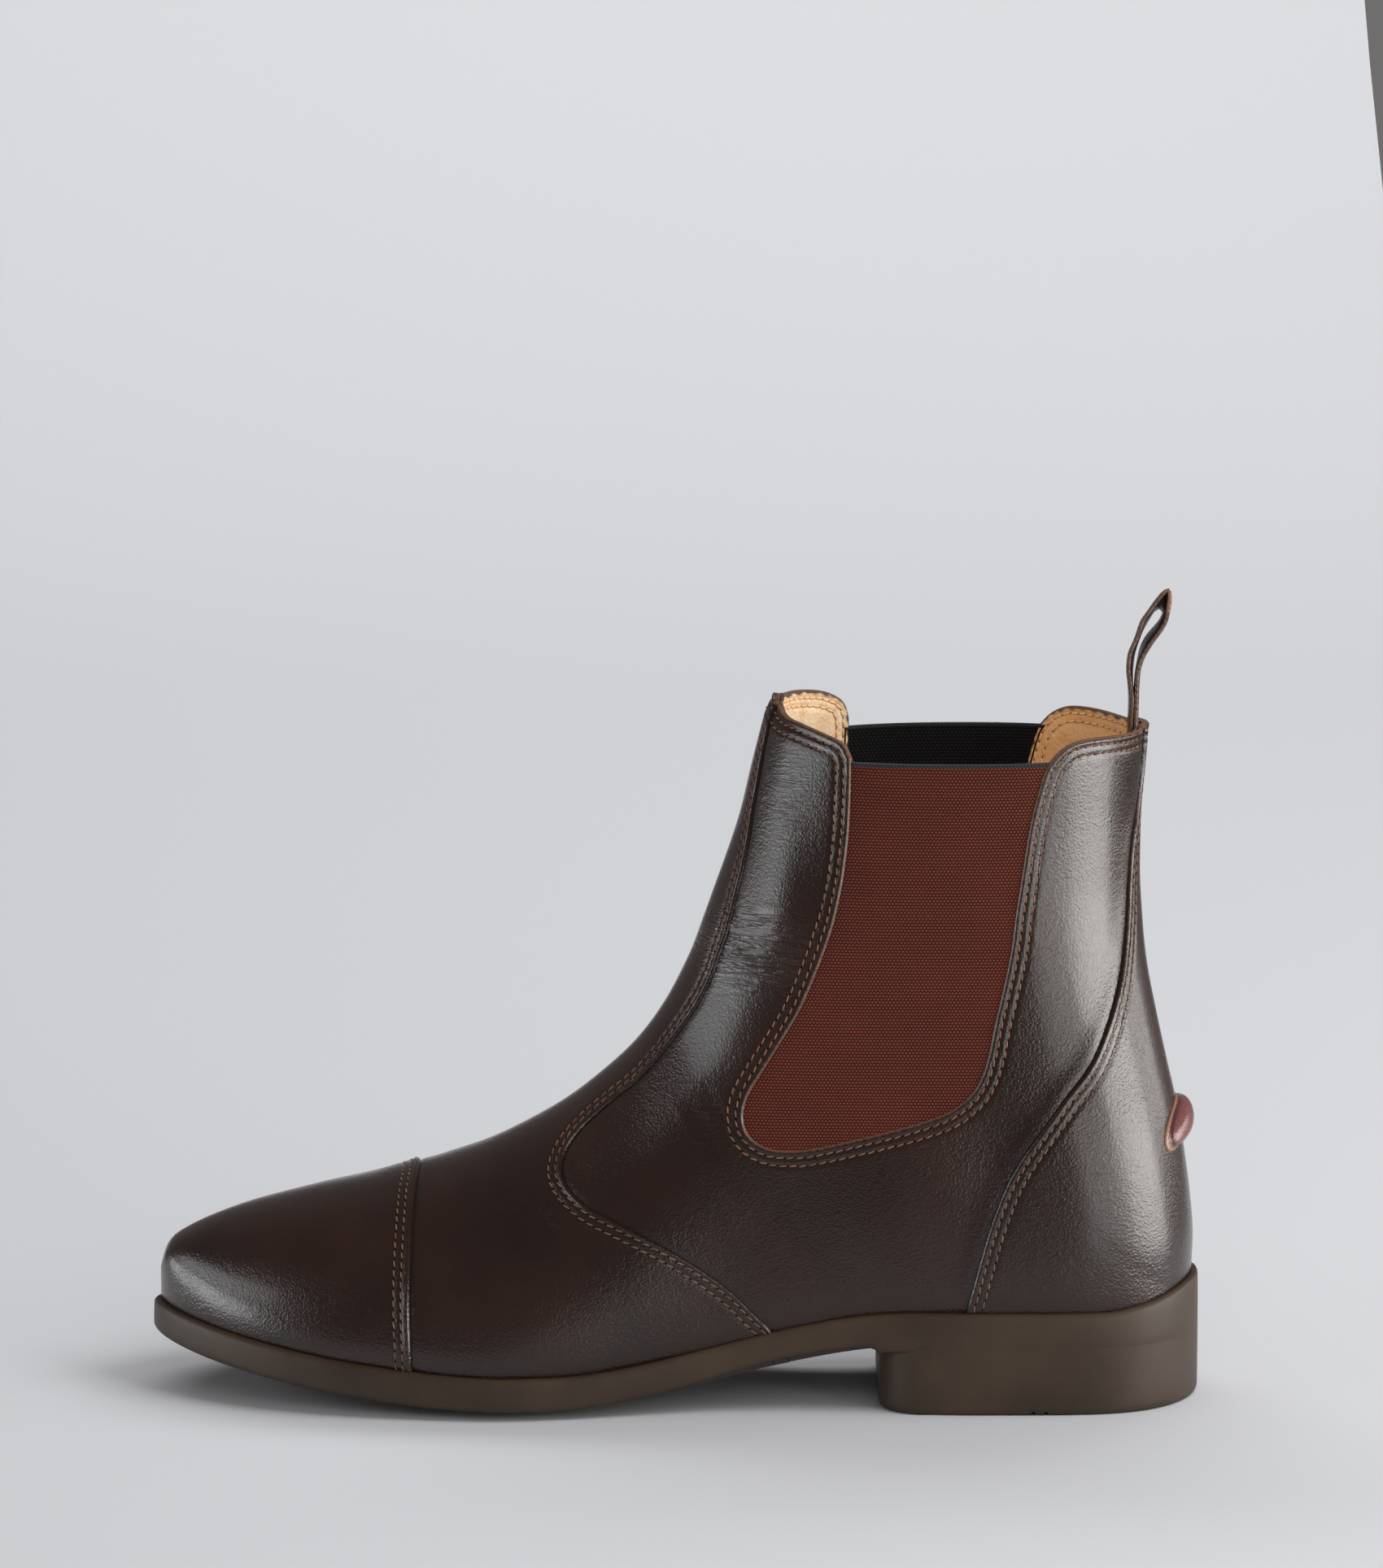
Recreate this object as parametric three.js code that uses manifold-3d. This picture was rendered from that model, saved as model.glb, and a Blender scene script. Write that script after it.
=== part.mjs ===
// Left paddock boot, millimetres, +Z up, toe towards -X, outer side towards -Y.
// Drawn from the heel: x runs from the back of the heel to the toe, y is negative on the outer side.
import * as THREE from 'three';
import Module from 'manifold-3d';

const wasm = await Module();
wasm.setup();

// driving dimensions
const LENGTH = 275.5; // back of the heel to the tip of the sole
const HEIGHT = 186; // floor to the front of the collar
const BALL = 88.6; // width over the ball, without the sole's ledge
const ANKLE = 59.8; // narrowest width above the instep
const SHAFT = 67.4; // width at the collar
const SEAT = 27; // floor to the top of the sole at the heel
const FORE = 11.2; // floor to the top of the sole at the ball
const SPRING = 12; // rise of the toe
const SWING = 6.5; // how far the forepart leans to the inner side
const LEDGE = 1.9; // sole edge outside the upper
const WALL = 2.2; // quarter with its lining
const STEP = 0.6; // vamp over quarter
const OVERLAY = 1; // leather of toe cap and backstay
const GAP = 0.3; // between pieces
const LET_IN = 3.5; // depth of the tray the upper stands in
const DEPTH = 9; // how far the form is carried on below the sole's top
const CUP = 6; // rise of the sole at the back of the heel
const CUP_RUN = 25;
const BREAST = 84.5; // front of the heel
const BREAST_CORNER = 12;
const BREAST_FILLET = 2.4;
const CROWN = 2.3; // the forepart's tread is rounded across
const TUCK = 1.2; // the upper is drawn in just above the sole
const TUCK_RUN = 3;
const WEB = 1.4; // elastic
const WEB_SUNK = 0.7;
const INSOLE = 3;
const TAPE = 1.2; // pull loop
const TAPE_WIDTH = 11;
const TAPE_ROOM = 0.8; // inner strand clear of the rounded inside of the back tab
const REST_HALF = 13; // spur rest: half its width, height of its middle, thickness
const REST_TALL = 5.2;
const REST_PROUD = 3.2;
const GROOVE_WIDE = 0.9;
const GROOVE_DEEP = 0.7;

const ROWS = 31;
const AROUND = 14;
const SOLE_STATIONS = 26;
const LOOP_PARTS = 36;
const REST_PARTS = 7; // each side of the middle

// half width at the sole, outer and inner, shares of BALL, against share of LENGTH
const PLAN = [
  { at: 0.0, outer: 0.352, inner: 0.352 },
  { at: 0.22, outer: 0.352, inner: 0.352 },
  { at: 0.272, outer: 0.343, inner: 0.341 },
  { at: 0.327, outer: 0.331, inner: 0.327 },
  { at: 0.381, outer: 0.324, inner: 0.318 },
  { at: 0.436, outer: 0.333, inner: 0.322 },
  { at: 0.49, outer: 0.361, inner: 0.345 },
  { at: 0.545, outer: 0.404, inner: 0.391 },
  { at: 0.592, outer: 0.445, inner: 0.433 },
  { at: 0.646, outer: 0.484, inner: 0.476 },
  { at: 0.69, outer: 0.497, inner: 0.5 },
  { at: 0.72, outer: 0.497, inner: 0.508 },
];
const PEAK = { outer: 0.675, inner: 0.715 };

// back of the heel and leg, shares of LENGTH against shares of HEIGHT
const BACK = [
  { up: 0.043, in: 0.0167 }, { up: 0.1183, in: 0.0123 }, { up: 0.1774, in: 0.0116 }, { up: 0.2258, in: 0.0102 },
  { up: 0.2849, in: 0.0131 }, { up: 0.3387, in: 0.0181 }, { up: 0.4086, in: 0.0265 }, { up: 0.4785, in: 0.0377 },
  { up: 0.5484, in: 0.0479 }, { up: 0.6183, in: 0.0566 }, { up: 0.6882, in: 0.0613 }, { up: 0.7634, in: 0.0639 },
  { up: 0.8333, in: 0.0635 }, { up: 0.9032, in: 0.0595 }, { up: 0.9677, in: 0.0555 }, { up: 1.0484, in: 0.0501 },
  { up: 1.1559, in: 0.0436 },
];

// fan of sections from toe to collar. Ridge point: share of the form's length and of HEIGHT.
// Foot point: where the section ends under the foot, or up the back of the heel and leg.
// Roundness of the ridge and fullness of the side: shares of BALL.
const FAN = [
  { ridge: 1, up: 0.1559, foot: 1, round: 0.158, full: 0.226 },
  { ridge: 0.9982, up: 0.172, foot: 0.9982, round: 0.169, full: 0.226 },
  { ridge: 0.9912, up: 0.1957, foot: 0.9912, round: 0.203, full: 0.226 },
  { ridge: 0.9768, up: 0.2113, foot: 0.9768, round: 0.248, full: 0.237 },
  { ridge: 0.9507, up: 0.2312, foot: 0.9507, round: 0.293, full: 0.248 },
  { ridge: 0.9073, up: 0.2538, foot: 0.9073, round: 0.339, full: 0.282 },
  { ridge: 0.852, up: 0.2747, foot: 0.852, round: 0.384, full: 0.327 },
  { ridge: 0.7895, up: 0.2957, foot: 0.7876, round: 0.406, full: 0.372 },
  { ridge: 0.7306, up: 0.3242, foot: 0.7214, round: 0.406, full: 0.406 },
  { ridge: 0.6772, up: 0.3543, foot: 0.6515, round: 0.361, full: 0.429 },
  { ridge: 0.6294, up: 0.393, foot: 0.5778, round: 0.305, full: 0.429 },
  { ridge: 0.5848, up: 0.4409, foot: 0.5006, round: 0.271, full: 0.418 },
  { ridge: 0.5469, up: 0.4935, foot: 0.4122, round: 0.248, full: 0.406 },
  { ridge: 0.516, up: 0.5532, foot: 0.3092, round: 0.226, full: 0.395 },
  { ridge: 0.4932, up: 0.6194, foot: 0.1914, round: 0.226, full: 0.384 },
  { ridge: 0.4781, up: 0.6774, foot: 0.081, footUp: 0.0806, round: 0.226, full: 0.384 },
  { ridge: 0.4649, up: 0.7312, foot: 0.0206, footUp: 0.1183, round: 0.226, full: 0.384 },
  { ridge: 0.4527, up: 0.7823, footUp: 0.2366, round: 0.226, full: 0.384 },
  { ridge: 0.4409, up: 0.8333, footUp: 0.3871, round: 0.226, full: 0.372 },
  { ridge: 0.4306, up: 0.8871, footUp: 0.5591, round: 0.226, full: 0.361 },
  { ridge: 0.4196, up: 0.9462, footUp: 0.7419, round: 0.226, full: 0.35 },
  { ridge: 0.4093, up: 1.0027, footUp: 0.9032, round: 0.226, full: 0.35 },
  { ridge: 0.3997, up: 1.0591, footUp: 1.0269, round: 0.226, full: 0.35 },
  { ridge: 0.3909, up: 1.1129, footUp: 1.1344, round: 0.226, full: 0.35 },
];

// lines on the side of the boot, shares of LENGTH and HEIGHT, from the collar down
const FRONT_TAB = [[0.47, 0.981], [0.4054, 0.9769], [0.3859, 0.974], [0.3625, 0.9634], [0.3445, 0.9531], [0.3377, 0.9372]];
const GORE = [
  [0.3358, 0.924], [0.337, 0.8436], [0.3401, 0.7911], [0.3444, 0.7473], [0.3515, 0.6988],
  [0.3602, 0.6585], [0.3703, 0.6188], [0.382, 0.5785], [0.3936, 0.5472], [0.4081, 0.5116],
  [0.4213, 0.48], [0.43, 0.4578], [0.435, 0.4358], [0.4352, 0.4164], [0.4308, 0.3994],
  [0.4208, 0.3858], [0.4078, 0.3785], [0.3886, 0.377], [0.3657, 0.381], [0.3351, 0.3915],
  [0.3007, 0.4047], [0.2701, 0.4178], [0.2434, 0.4329], [0.2244, 0.4537], [0.213, 0.4791],
  [0.2055, 0.5137], [0.2003, 0.5542], [0.1936, 0.5981], [0.1855, 0.6571], [0.1804, 0.716],
  [0.175, 0.7691], [0.1676, 0.8394], [0.16, 0.8863], [0.1532, 0.9179],
];
const REAR_TAB = [[0.1466, 0.9321], [0.1368, 0.9458], [0.121, 0.9555], [0.097, 0.9567], [0.0612, 0.953], [0.045, 0.963], [-0.08, 0.97]];
const VAMP = [
  [0.4, 1.03], [0.4054, 0.9753], [0.4131, 0.9185], [0.4223, 0.8513], [0.4326, 0.7767], [0.4414, 0.728],
  [0.4483, 0.6853], [0.4575, 0.6417], [0.466, 0.6059], [0.4806, 0.5644], [0.5013, 0.5189],
  [0.5306, 0.4672], [0.5607, 0.4286], [0.5838, 0.3978], [0.5984, 0.3731], [0.606, 0.3498],
  [0.6059, 0.3312], [0.5981, 0.3129], [0.5803, 0.2925], [0.5542, 0.2743], [0.525, 0.2533],
  [0.4955, 0.2287], [0.466, 0.1987], [0.4429, 0.1712], [0.4252, 0.144], [0.4117, 0.1233], [0.398, 0.09],
];
const BACKSTAY = [
  [0.056, 1.03], [0.0591, 0.9455], [0.0617, 0.8906], [0.0664, 0.8394], [0.0716, 0.7897], [0.0739, 0.7384],
  [0.0754, 0.6872], [0.0795, 0.6315], [0.0861, 0.5883], [0.0971, 0.5398], [0.1111, 0.4957],
  [0.1345, 0.4507], [0.1539, 0.4102], [0.1733, 0.3694], [0.1888, 0.3277], [0.2024, 0.2742],
  [0.2118, 0.2268], [0.2213, 0.173], [0.2251, 0.1513], [0.23, 0.1],
];
const TOE_CAP = [[0.736, 0.42], [0.7409, 0.3266], [0.7449, 0.2947], [0.7471, 0.2489], [0.7485, 0.1964], [0.7486, 0.1404], [0.7464, 0.0701], [0.744, 0.03]];

// sole's wall from the tread's edge to its top edge
const SOLE_LEVELS = [
  { inset: 1.3, from: 'under', rise: 0 },
  { inset: 0.4, from: 'under', rise: 0.4 },
  { inset: 0, from: 'under', rise: 1.4 },
  { inset: 0.2, from: 'top', rise: -1.1 },
  { inset: 0.7, from: 'top', rise: -0.3 },
  { inset: 1.4, from: 'top', rise: 0 },
];
const HEEL_GROOVES = [41, 44.4];
const REST_SPOT = [0.622, 0.658]; // the forepart stands on this stretch, shares of LENGTH

// pull loop's middle line up the front strand, over the top and down the rear strand:
// distance from the inside of the back tab, and height as a share of HEIGHT
const LOOP = [
  { off: 3.1, up: 0.86 }, { off: 3.1, up: 0.903 }, { off: 2.9, up: 0.962 }, { off: 2.1, up: 1 },
  { off: 1.9, up: 1.027 }, { off: 1.6, up: 1.051 }, { off: 0.4, up: 1.072 }, { off: -1.3, up: 1.094 },
  { off: -3, up: 1.112 }, { off: -5.3, up: 1.129 }, { off: -7.3, up: 1.141 }, { off: -8.5, up: 1.141 },
  { off: -8.8, up: 1.131 }, { off: -8.4, up: 1.115 }, { off: -7.5, up: 1.096 }, { off: -5.7, up: 1.078 },
  { off: -3, up: 1.0575 }, { off: -1.1, up: 1.0376 }, { off: -0.3, up: 1.0204 }, { off: 0.2, up: 0.995 },
  { off: 0.8, up: 0.965 }, { off: 1.1, up: 0.903 }, { off: 1.2, up: 0.86 },
];

const clamp = THREE.MathUtils.clamp;
const smooth = (t) => THREE.MathUtils.smoothstep(t, 0, 1);

// smooth curve through a table's columns
function read(table, key, value, at) {
  const last = table.length - 1;
  const t = clamp(at, table[0][key], table[last][key]);
  let i = 0;
  while (i < last - 1 && t > table[i + 1][key]) i += 1;
  const slope = (k) => {
    const a = Math.max(k - 1, 0);
    const b = Math.min(k + 1, last);
    if (a === k || b === k) return (table[b][value] - table[a][value]) / (table[b][key] - table[a][key]);
    const before = table[k][key] - table[a][key];
    const after = table[b][key] - table[k][key];
    const rise = (table[k][value] - table[a][value]) / before;
    const next = (table[b][value] - table[k][value]) / after;
    if (rise * next <= 0) return 0;
    return (rise * after + next * before) / (before + after);
  };
  const span = table[i + 1][key] - table[i][key];
  const s = (t - table[i][key]) / span;
  const s2 = s * s;
  const s3 = s2 * s;
  return (2 * s3 - 3 * s2 + 1) * table[i][value] + (s3 - 2 * s2 + s) * span * slope(i)
    + (3 * s2 - 2 * s3) * table[i + 1][value] + (s3 - s2) * span * slope(i + 1);
}

// what lies over the form at the sole: backstay, vamp, toe cap
function cover(x) {
  const along = x / LENGTH;
  return (OVERLAY + GAP) * (1 - smooth((along - 0.18) / 0.11)) + STEP * smooth((along - 0.363) / 0.109)
    + (OVERLAY + GAP) * smooth((along - 0.719) / 0.058);
}
const TIP = LENGTH - LEDGE - STEP - OVERLAY - GAP;

function feather(x) {
  const toe = SPRING * Math.max((x / LENGTH - 0.66) / 0.34, 0) ** 1.6;
  return FORE + toe + (SEAT - FORE) * smooth((0.62 - x / LENGTH) / 0.35);
}
const cup = (x) => CUP * Math.max(1 - Math.max(x, 0) / CUP_RUN, 0) ** 1.3;
const soleTop = (x) => feather(x) + cup(x);
const crown = (x) => CROWN * smooth((x / LENGTH - 0.4) / 0.18);
// the waist is a little thinner and the heel's front wall meets it in a fillet
const waist = (x) => 1.2 * Math.exp(-(((x / LENGTH - 0.4) / 0.09) ** 2)) - BREAST_FILLET * Math.exp((BREAST - x) / 1.2);
const soleUnder = (x) => (x < BREAST ? 0 : feather(x) - (FORE - CROWN) - crown(x) + waist(x));
const swing = (x) => SWING * smooth((x / LENGTH - 0.38) / 0.4);
const back = (z) => LENGTH * read(BACK, 'up', 'in', z / HEIGHT);

function planHalf(x, side) {
  const peak = PEAK[side] * LENGTH;
  const full = BALL * read(PLAN, 'at', side, Math.min(x, peak) / LENGTH) - cover(x);
  const along = clamp((x - peak) / (TIP - peak), 0, 1);
  return full * (1 - along ** 2.15) ** 0.6;
}

// half width of the form at a point of the side view; down is the distance below the ridge
function half(x, z, down, round, full, side) {
  const above = z - feather(x);
  const leg = smooth((above / HEIGHT - 0.065) / 0.403);
  const foot = planHalf(x, side) - TUCK * Math.exp(-Math.max(above, 0) / TUCK_RUN);
  const shaft = (ANKLE + (SHAFT - ANKLE) * smooth((z / HEIGHT - 0.511) / 0.511)) / 2;
  const trunk = Math.max(foot * (1 - leg) + shaft * leg, 1e-6);
  const top = 1 - Math.exp(-(2 * round * BALL * down / trunk ** 2 + (down / (full * BALL)) ** 2));
  const behind = Math.max(x - back(z), 0);
  const leaner = smooth((z / HEIGHT - 0.323) / 0.43);
  const backRound = BALL * (0.305 - 0.056 * leaner);
  const backFull = BALL * (0.271 + 0.045 * leaner);
  const rear = 1 - Math.exp(-(2 * backRound * behind / trunk ** 2 + (behind / backFull) ** 2));
  return trunk * Math.sqrt(top * rear);
}
const deepHalf = (x, z, side) => half(x, z, Infinity, 1, 1, side);

// the fan's rows, spaced by how far the skin moves from one to the next
function fanRows(count) {
  const table = FAN.map((row, index) => {
    const footX = row.foot === undefined ? back(row.footUp * HEIGHT) : row.foot * TIP;
    const footZ = row.footUp === undefined ? feather(footX) - DEPTH : row.footUp * HEIGHT;
    return { index, x: row.ridge * TIP, z: row.up * HEIGHT, footX, footZ, round: row.round, full: row.full };
  });
  const at = (k) => Object.fromEntries(['x', 'z', 'footX', 'footZ', 'round', 'full']
    .map((name) => [name, read(table, 'index', name, k)]));
  const fine = 20 * (table.length - 1);
  const travel = [0];
  let before = null;
  for (let i = 0; i <= fine; i += 1) {
    const row = at(i * (table.length - 1) / fine);
    const middle = [(row.x + row.footX) / 2, (row.z + row.footZ) / 2];
    const down = Math.hypot(row.x - middle[0], row.z - middle[1]);
    const now = { row, middle, wide: half(...middle, down, row.round, row.full, 'outer') };
    if (before) {
      const ridge = Math.hypot(row.x - before.row.x, row.z - before.row.z);
      const foot = Math.hypot(row.footX - before.row.footX, row.footZ - before.row.footZ);
      const side = Math.hypot(middle[0] - before.middle[0], middle[1] - before.middle[1], now.wide - before.wide);
      travel.push(travel[i - 1] + 0.35 * ridge + 0.25 * foot + 0.4 * side);
    }
    before = now;
  }
  const rows = [];
  let i = 0;
  for (let n = 0; n < count; n += 1) {
    const goal = travel[fine] * n / (count - 1);
    while (i < fine - 1 && travel[i + 1] < goal) i += 1;
    const part = (goal - travel[i]) / (travel[i + 1] - travel[i]);
    rows.push(at((i + clamp(part, 0, 1)) * (table.length - 1) / fine));
  }
  return rows;
}

// one side of a section from the ridge to the foot point, evenly spaced along the skin
function section(row, side, count) {
  const sign = side === 'outer' ? -1 : 1;
  const deep = Math.hypot(row.footX - row.x, row.footZ - row.z);
  const line = [];
  const run = [0];
  const fine = 120;
  for (let i = 0; i <= fine; i += 1) {
    const q = (1 - Math.cos(Math.PI * i / fine)) / 2;
    const x = row.x + (row.footX - row.x) * q;
    const z = row.z + (row.footZ - row.z) * q;
    line.push(new THREE.Vector3(x, swing(x) + sign * half(x, z, deep * q, row.round, row.full, side), z));
    if (i > 0) run.push(run[i - 1] + line[i].distanceTo(line[i - 1]));
  }
  const points = [];
  let i = 0;
  for (let n = 0; n <= count; n += 1) {
    const goal = run[fine] * n / count;
    while (i < fine - 1 && run[i + 1] < goal) i += 1;
    points.push(line[i].clone().lerp(line[i + 1], clamp((goal - run[i]) / (run[i + 1] - run[i]), 0, 1)));
  }
  return points;
}

// points that fall together are joined and the skin is turned outwards
function solid(points, faces) {
  const found = new Map();
  const verts = [];
  const index = points.map((p) => {
    const key = [p.x, p.y, p.z].map((c) => c.toFixed(4)).join();
    if (!found.has(key)) {
      found.set(key, verts.length / 3);
      verts.push(LENGTH / 2 - p.x, p.y, p.z);
    }
    return found.get(key);
  });
  const kept = faces.map((face) => face.map((k) => index[k])).filter(([a, b, c]) => a !== b && b !== c && c !== a);
  const corner = (k) => new THREE.Vector3().fromArray(verts, 3 * k);
  const volume = kept.reduce((sum, [a, b, c]) => sum + corner(a).dot(corner(b).cross(corner(c))), 0);
  const wound = volume < 0 ? kept.map(([a, b, c]) => [a, c, b]) : kept;
  return new wasm.Manifold(new wasm.Mesh({
    numProp: 3,
    vertProperties: new Float32Array(verts),
    triVerts: new Uint32Array(wound.flat()),
  }));
}

// closed rings joined one to the next; each ring runs out on one side and home on the other
function loft(rings) {
  const around = rings[0].length;
  const faces = [];
  const quad = (a, b, c, d) => faces.push([a, b, c], [a, c, d]);
  for (let r = 0; r < rings.length - 1; r += 1) {
    for (let k = 0; k < around; k += 1) {
      const next = (k + 1) % around;
      quad(r * around + k, r * around + next, (r + 1) * around + next, (r + 1) * around + k);
    }
  }
  const cap = (base, turned) => {
    for (let k = 0; k < around / 2 - 1; k += 1) {
      const ends = [base + k, base + k + 1, base + around - 2 - k, base + around - 1 - k];
      if (turned) quad(...ends.reverse());
      else quad(...ends);
    }
  };
  cap(0, true);
  cap((rings.length - 1) * around, false);
  return solid(rings.flat(), faces);
}

// the form as a grid of rings, and its normals, from the skin alone
const grid = fanRows(ROWS).map((row) => [
  ...section(row, 'outer', AROUND),
  ...section(row, 'inner', AROUND).reverse(),
]);
const keyOf = (p) => [p.x, p.y, p.z].map((c) => c.toFixed(4)).join();
const normals = new Map();
for (let r = 0; r < grid.length - 1; r += 1) {
  for (let k = 0; k < 2 * AROUND + 1; k += 1) {
    if (k === AROUND) continue;
    const [a, b, c, d] = [grid[r][k], grid[r][k + 1], grid[r + 1][k + 1], grid[r + 1][k]];
    for (const tri of [[a, b, c], [a, c, d]]) {
      const lean = tri[1].clone().sub(tri[0]).cross(tri[2].clone().sub(tri[0]));
      for (const p of tri) {
        const key = keyOf(p);
        normals.set(key, (normals.get(key) ?? new THREE.Vector3()).add(lean));
      }
    }
  }
}
const outward = normals.get(keyOf(grid[20][3])).y < 0 ? 1 : -1;

function form(out) {
  return loft(grid.map((ring) => ring.map((p) => p.clone()
    .addScaledVector(normals.get(keyOf(p)).clone().normalize(), outward * out))));
}

// a flat outline carried along y (side view) or z (plan)
function prism(outline, low, high, along = 'y') {
  const flat = outline.map(([a, b]) => new THREE.Vector2(a, b));
  if (THREE.ShapeUtils.area(flat) < 0) flat.reverse();
  const lift = (p, h) => (along === 'y' ? new THREE.Vector3(p.x, h, p.y) : new THREE.Vector3(p.x, p.y, h));
  const n = flat.length;
  const caps = THREE.ShapeUtils.triangulateShape(flat, []);
  const faces = caps.map(([a, b, c]) => [a, c, b]).concat(caps.map((tri) => tri.map((k) => k + n)));
  for (let k = 0; k < n; k += 1) {
    const next = (k + 1) % n;
    faces.push([k, next, next + n], [k, next + n, k + n]);
  }
  return solid([...flat.map((p) => lift(p, low)), ...flat.map((p) => lift(p, high))], faces);
}

function drawn(shares, count) {
  const points = shares.map(([along, up]) => new THREE.Vector3(along * LENGTH, up * HEIGHT, 0));
  return new THREE.CatmullRomCurve3(points, false, 'centripetal').getSpacedPoints(count).map((p) => [p.x, p.y]);
}

// a closed outline moved inwards
function inset(outline, by) {
  const turn = Math.sign(THREE.ShapeUtils.area(outline.map(([a, b]) => new THREE.Vector2(a, b))));
  return outline.map(([a, b], k) => {
    const [pa, pb] = outline[(k + outline.length - 1) % outline.length];
    const [na, nb] = outline[(k + 1) % outline.length];
    const coming = new THREE.Vector2(a - pa, b - pb).normalize();
    const going = new THREE.Vector2(na - a, nb - b).normalize();
    const way = coming.clone().add(going).normalize();
    const reach = by / way.dot(going);
    return [a - turn * way.y * reach, b + turn * way.x * reach];
  });
}

// cutters run from one boot's length to the other side of it, and from behind it to past its toe
const across = (outline) => prism(outline, -LENGTH, LENGTH);
const rearEnd = -0.1 * LENGTH;
const toeEnd = 1.1 * LENGTH;
const sky = 2 * HEIGHT;
function above(height) {
  const steps = 50;
  const line = [];
  for (let k = 0; k <= steps; k += 1) {
    const x = rearEnd + (toeEnd - rearEnd) * k / steps;
    line.push([x, height(x)]);
  }
  return across([...line, [toeEnd, sky], [rearEnd, sky]]);
}

// regions of the side view
const goreLine = drawn(GORE, 40);
const collar = [...drawn(FRONT_TAB, 10), ...goreLine, ...drawn(REAR_TAB, 12)];
const open = across([...collar, [collar.at(-1)[0], sky], [collar[0][0], sky]]);
const ahead = (line) => across([...line, [toeEnd, line.at(-1)[1]], [toeEnd, sky], [line[0][0], sky]]);
const behind = (line) => across([...line, [rearEnd, line.at(-1)[1]], [rearEnd, sky], [line[0][0], sky]]);
const vampArea = ahead(drawn(VAMP, 44));
const capArea = ahead(drawn(TOE_CAP, 8));
const stayArea = behind(drawn(BACKSTAY, 28));

// upper: quarters and vamp with their lining in one skin
const skin = form(0).add(form(STEP).intersect(vampArea));
const cavity = form(-WALL);
const upper = skin.subtract(cavity).subtract(open).intersect(above((x) => feather(x) - LET_IN + GAP));

const overSole = above((x) => soleTop(x) + GAP);
const toeCap = form(STEP + GAP + OVERLAY).subtract(form(STEP + GAP)).subtract(skin).intersect(capArea)
  .intersect(overSole);
const backstay = form(GAP + OVERLAY).subtract(form(GAP)).intersect(stayArea).intersect(overSole).subtract(open);

const web = form(-WEB_SUNK).subtract(form(-WEB_SUNK - WEB)).intersect(across(inset(goreLine, GAP)));
const outerSide = prism([[rearEnd, 0], [toeEnd, 0], [toeEnd, sky], [rearEnd, sky]], -LENGTH, 0);
const goreOuter = web.intersect(outerSide);
const goreInner = web.subtract(outerSide);

const insole = form(-WALL - GAP).intersect(above((x) => feather(x) - LET_IN + GAP))
  .subtract(above((x) => feather(x) - LET_IN + GAP + INSOLE));

// sole: outline of the form at its top edge, moved out by what covers the form and the ledge
function soleRing(stations, level) {
  const heel = back(SEAT);
  const xs = stations.map((x) => clamp(x, heel, TIP));
  const outer = xs.map((x) => new THREE.Vector2(x, swing(x) - deepHalf(x, feather(x), 'outer')));
  const inner = xs.map((x) => new THREE.Vector2(x, swing(x) + deepHalf(x, feather(x), 'inner')));
  const round = [...outer, ...inner.slice(1, -1).reverse()];
  const n = round.length;
  const moved = round.map((p, k) => {
    const way = round[(k + 1) % n].clone().sub(round[(k + n - 1) % n]).normalize();
    const out = cover(p.x) + LEDGE - level.inset;
    const x = p.x + way.y * out;
    const base = level.from === 'top' ? soleTop(x) : soleUnder(x) + crown(x);
    return new THREE.Vector3(x, p.y - way.x * out, base + level.rise);
  });
  return [...moved.slice(0, outer.length), ...moved.slice(outer.length - 1).concat(moved[0])];
}
const stations = [];
for (let k = 0; k <= SOLE_STATIONS; k += 1) {
  stations.push(back(SEAT) + (TIP - back(SEAT)) * (1 - Math.cos(Math.PI * k / SOLE_STATIONS)) / 2);
}
stations.push(BREAST - 0.15, BREAST + 0.15, ...REST_SPOT.map((share) => share * LENGTH));
stations.sort((a, b) => a - b);
const levels = SOLE_LEVELS.map((level) => soleRing(stations, level));
// the tread's middle is lower than its edges in the forepart
const tread = [0.45, 0.9].map((share) => levels[0].map((p, k) => {
  const mate = levels[0][levels[0].length - 1 - k];
  const middle = p.clone().add(mate).multiplyScalar(0.5);
  return p.clone().lerp(middle, 1 - share).setZ(p.z - crown(p.x) * (share < 0.5 ? 1 : 0.25));
}));
const block = loft([...tread, ...levels]);
const seatHalf = deepHalf(BREAST, SEAT, 'outer') + LEDGE;
const breastTop = SEAT - (FORE - CROWN) - BREAST_FILLET;
const cornerCut = (sign) => {
  const arc = [];
  for (let k = 0; k <= 8; k += 1) {
    const turn = (Math.PI / 2) * (k / 8);
    arc.push([BREAST - BREAST_CORNER * (1 - Math.cos(turn)), sign * (seatHalf - BREAST_CORNER * (1 - Math.sin(turn)))]);
  }
  const past = BREAST + BREAST_CORNER / 3;
  const corner = [[arc.at(-1)[0], sign * BALL], [past, sign * BALL], [past, arc[0][1]]];
  return prism([...arc, ...corner], -SEAT, breastTop, 'z');
};
const groove = (x) => across([[x - GROOVE_WIDE / 2, -SEAT], [x + GROOVE_WIDE / 2, -SEAT],
  [x + GROOVE_WIDE / 2, GROOVE_DEEP], [x - GROOVE_WIDE / 2, GROOVE_DEEP]]);
const tray = form(GAP).add(form(STEP + GAP).intersect(vampArea)).intersect(above((x) => feather(x) - LET_IN));
const outsole = HEEL_GROOVES.reduce((body, x) => body.subtract(groove(x)), block)
  .subtract(cornerCut(-1)).subtract(cornerCut(1)).subtract(tray);

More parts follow.
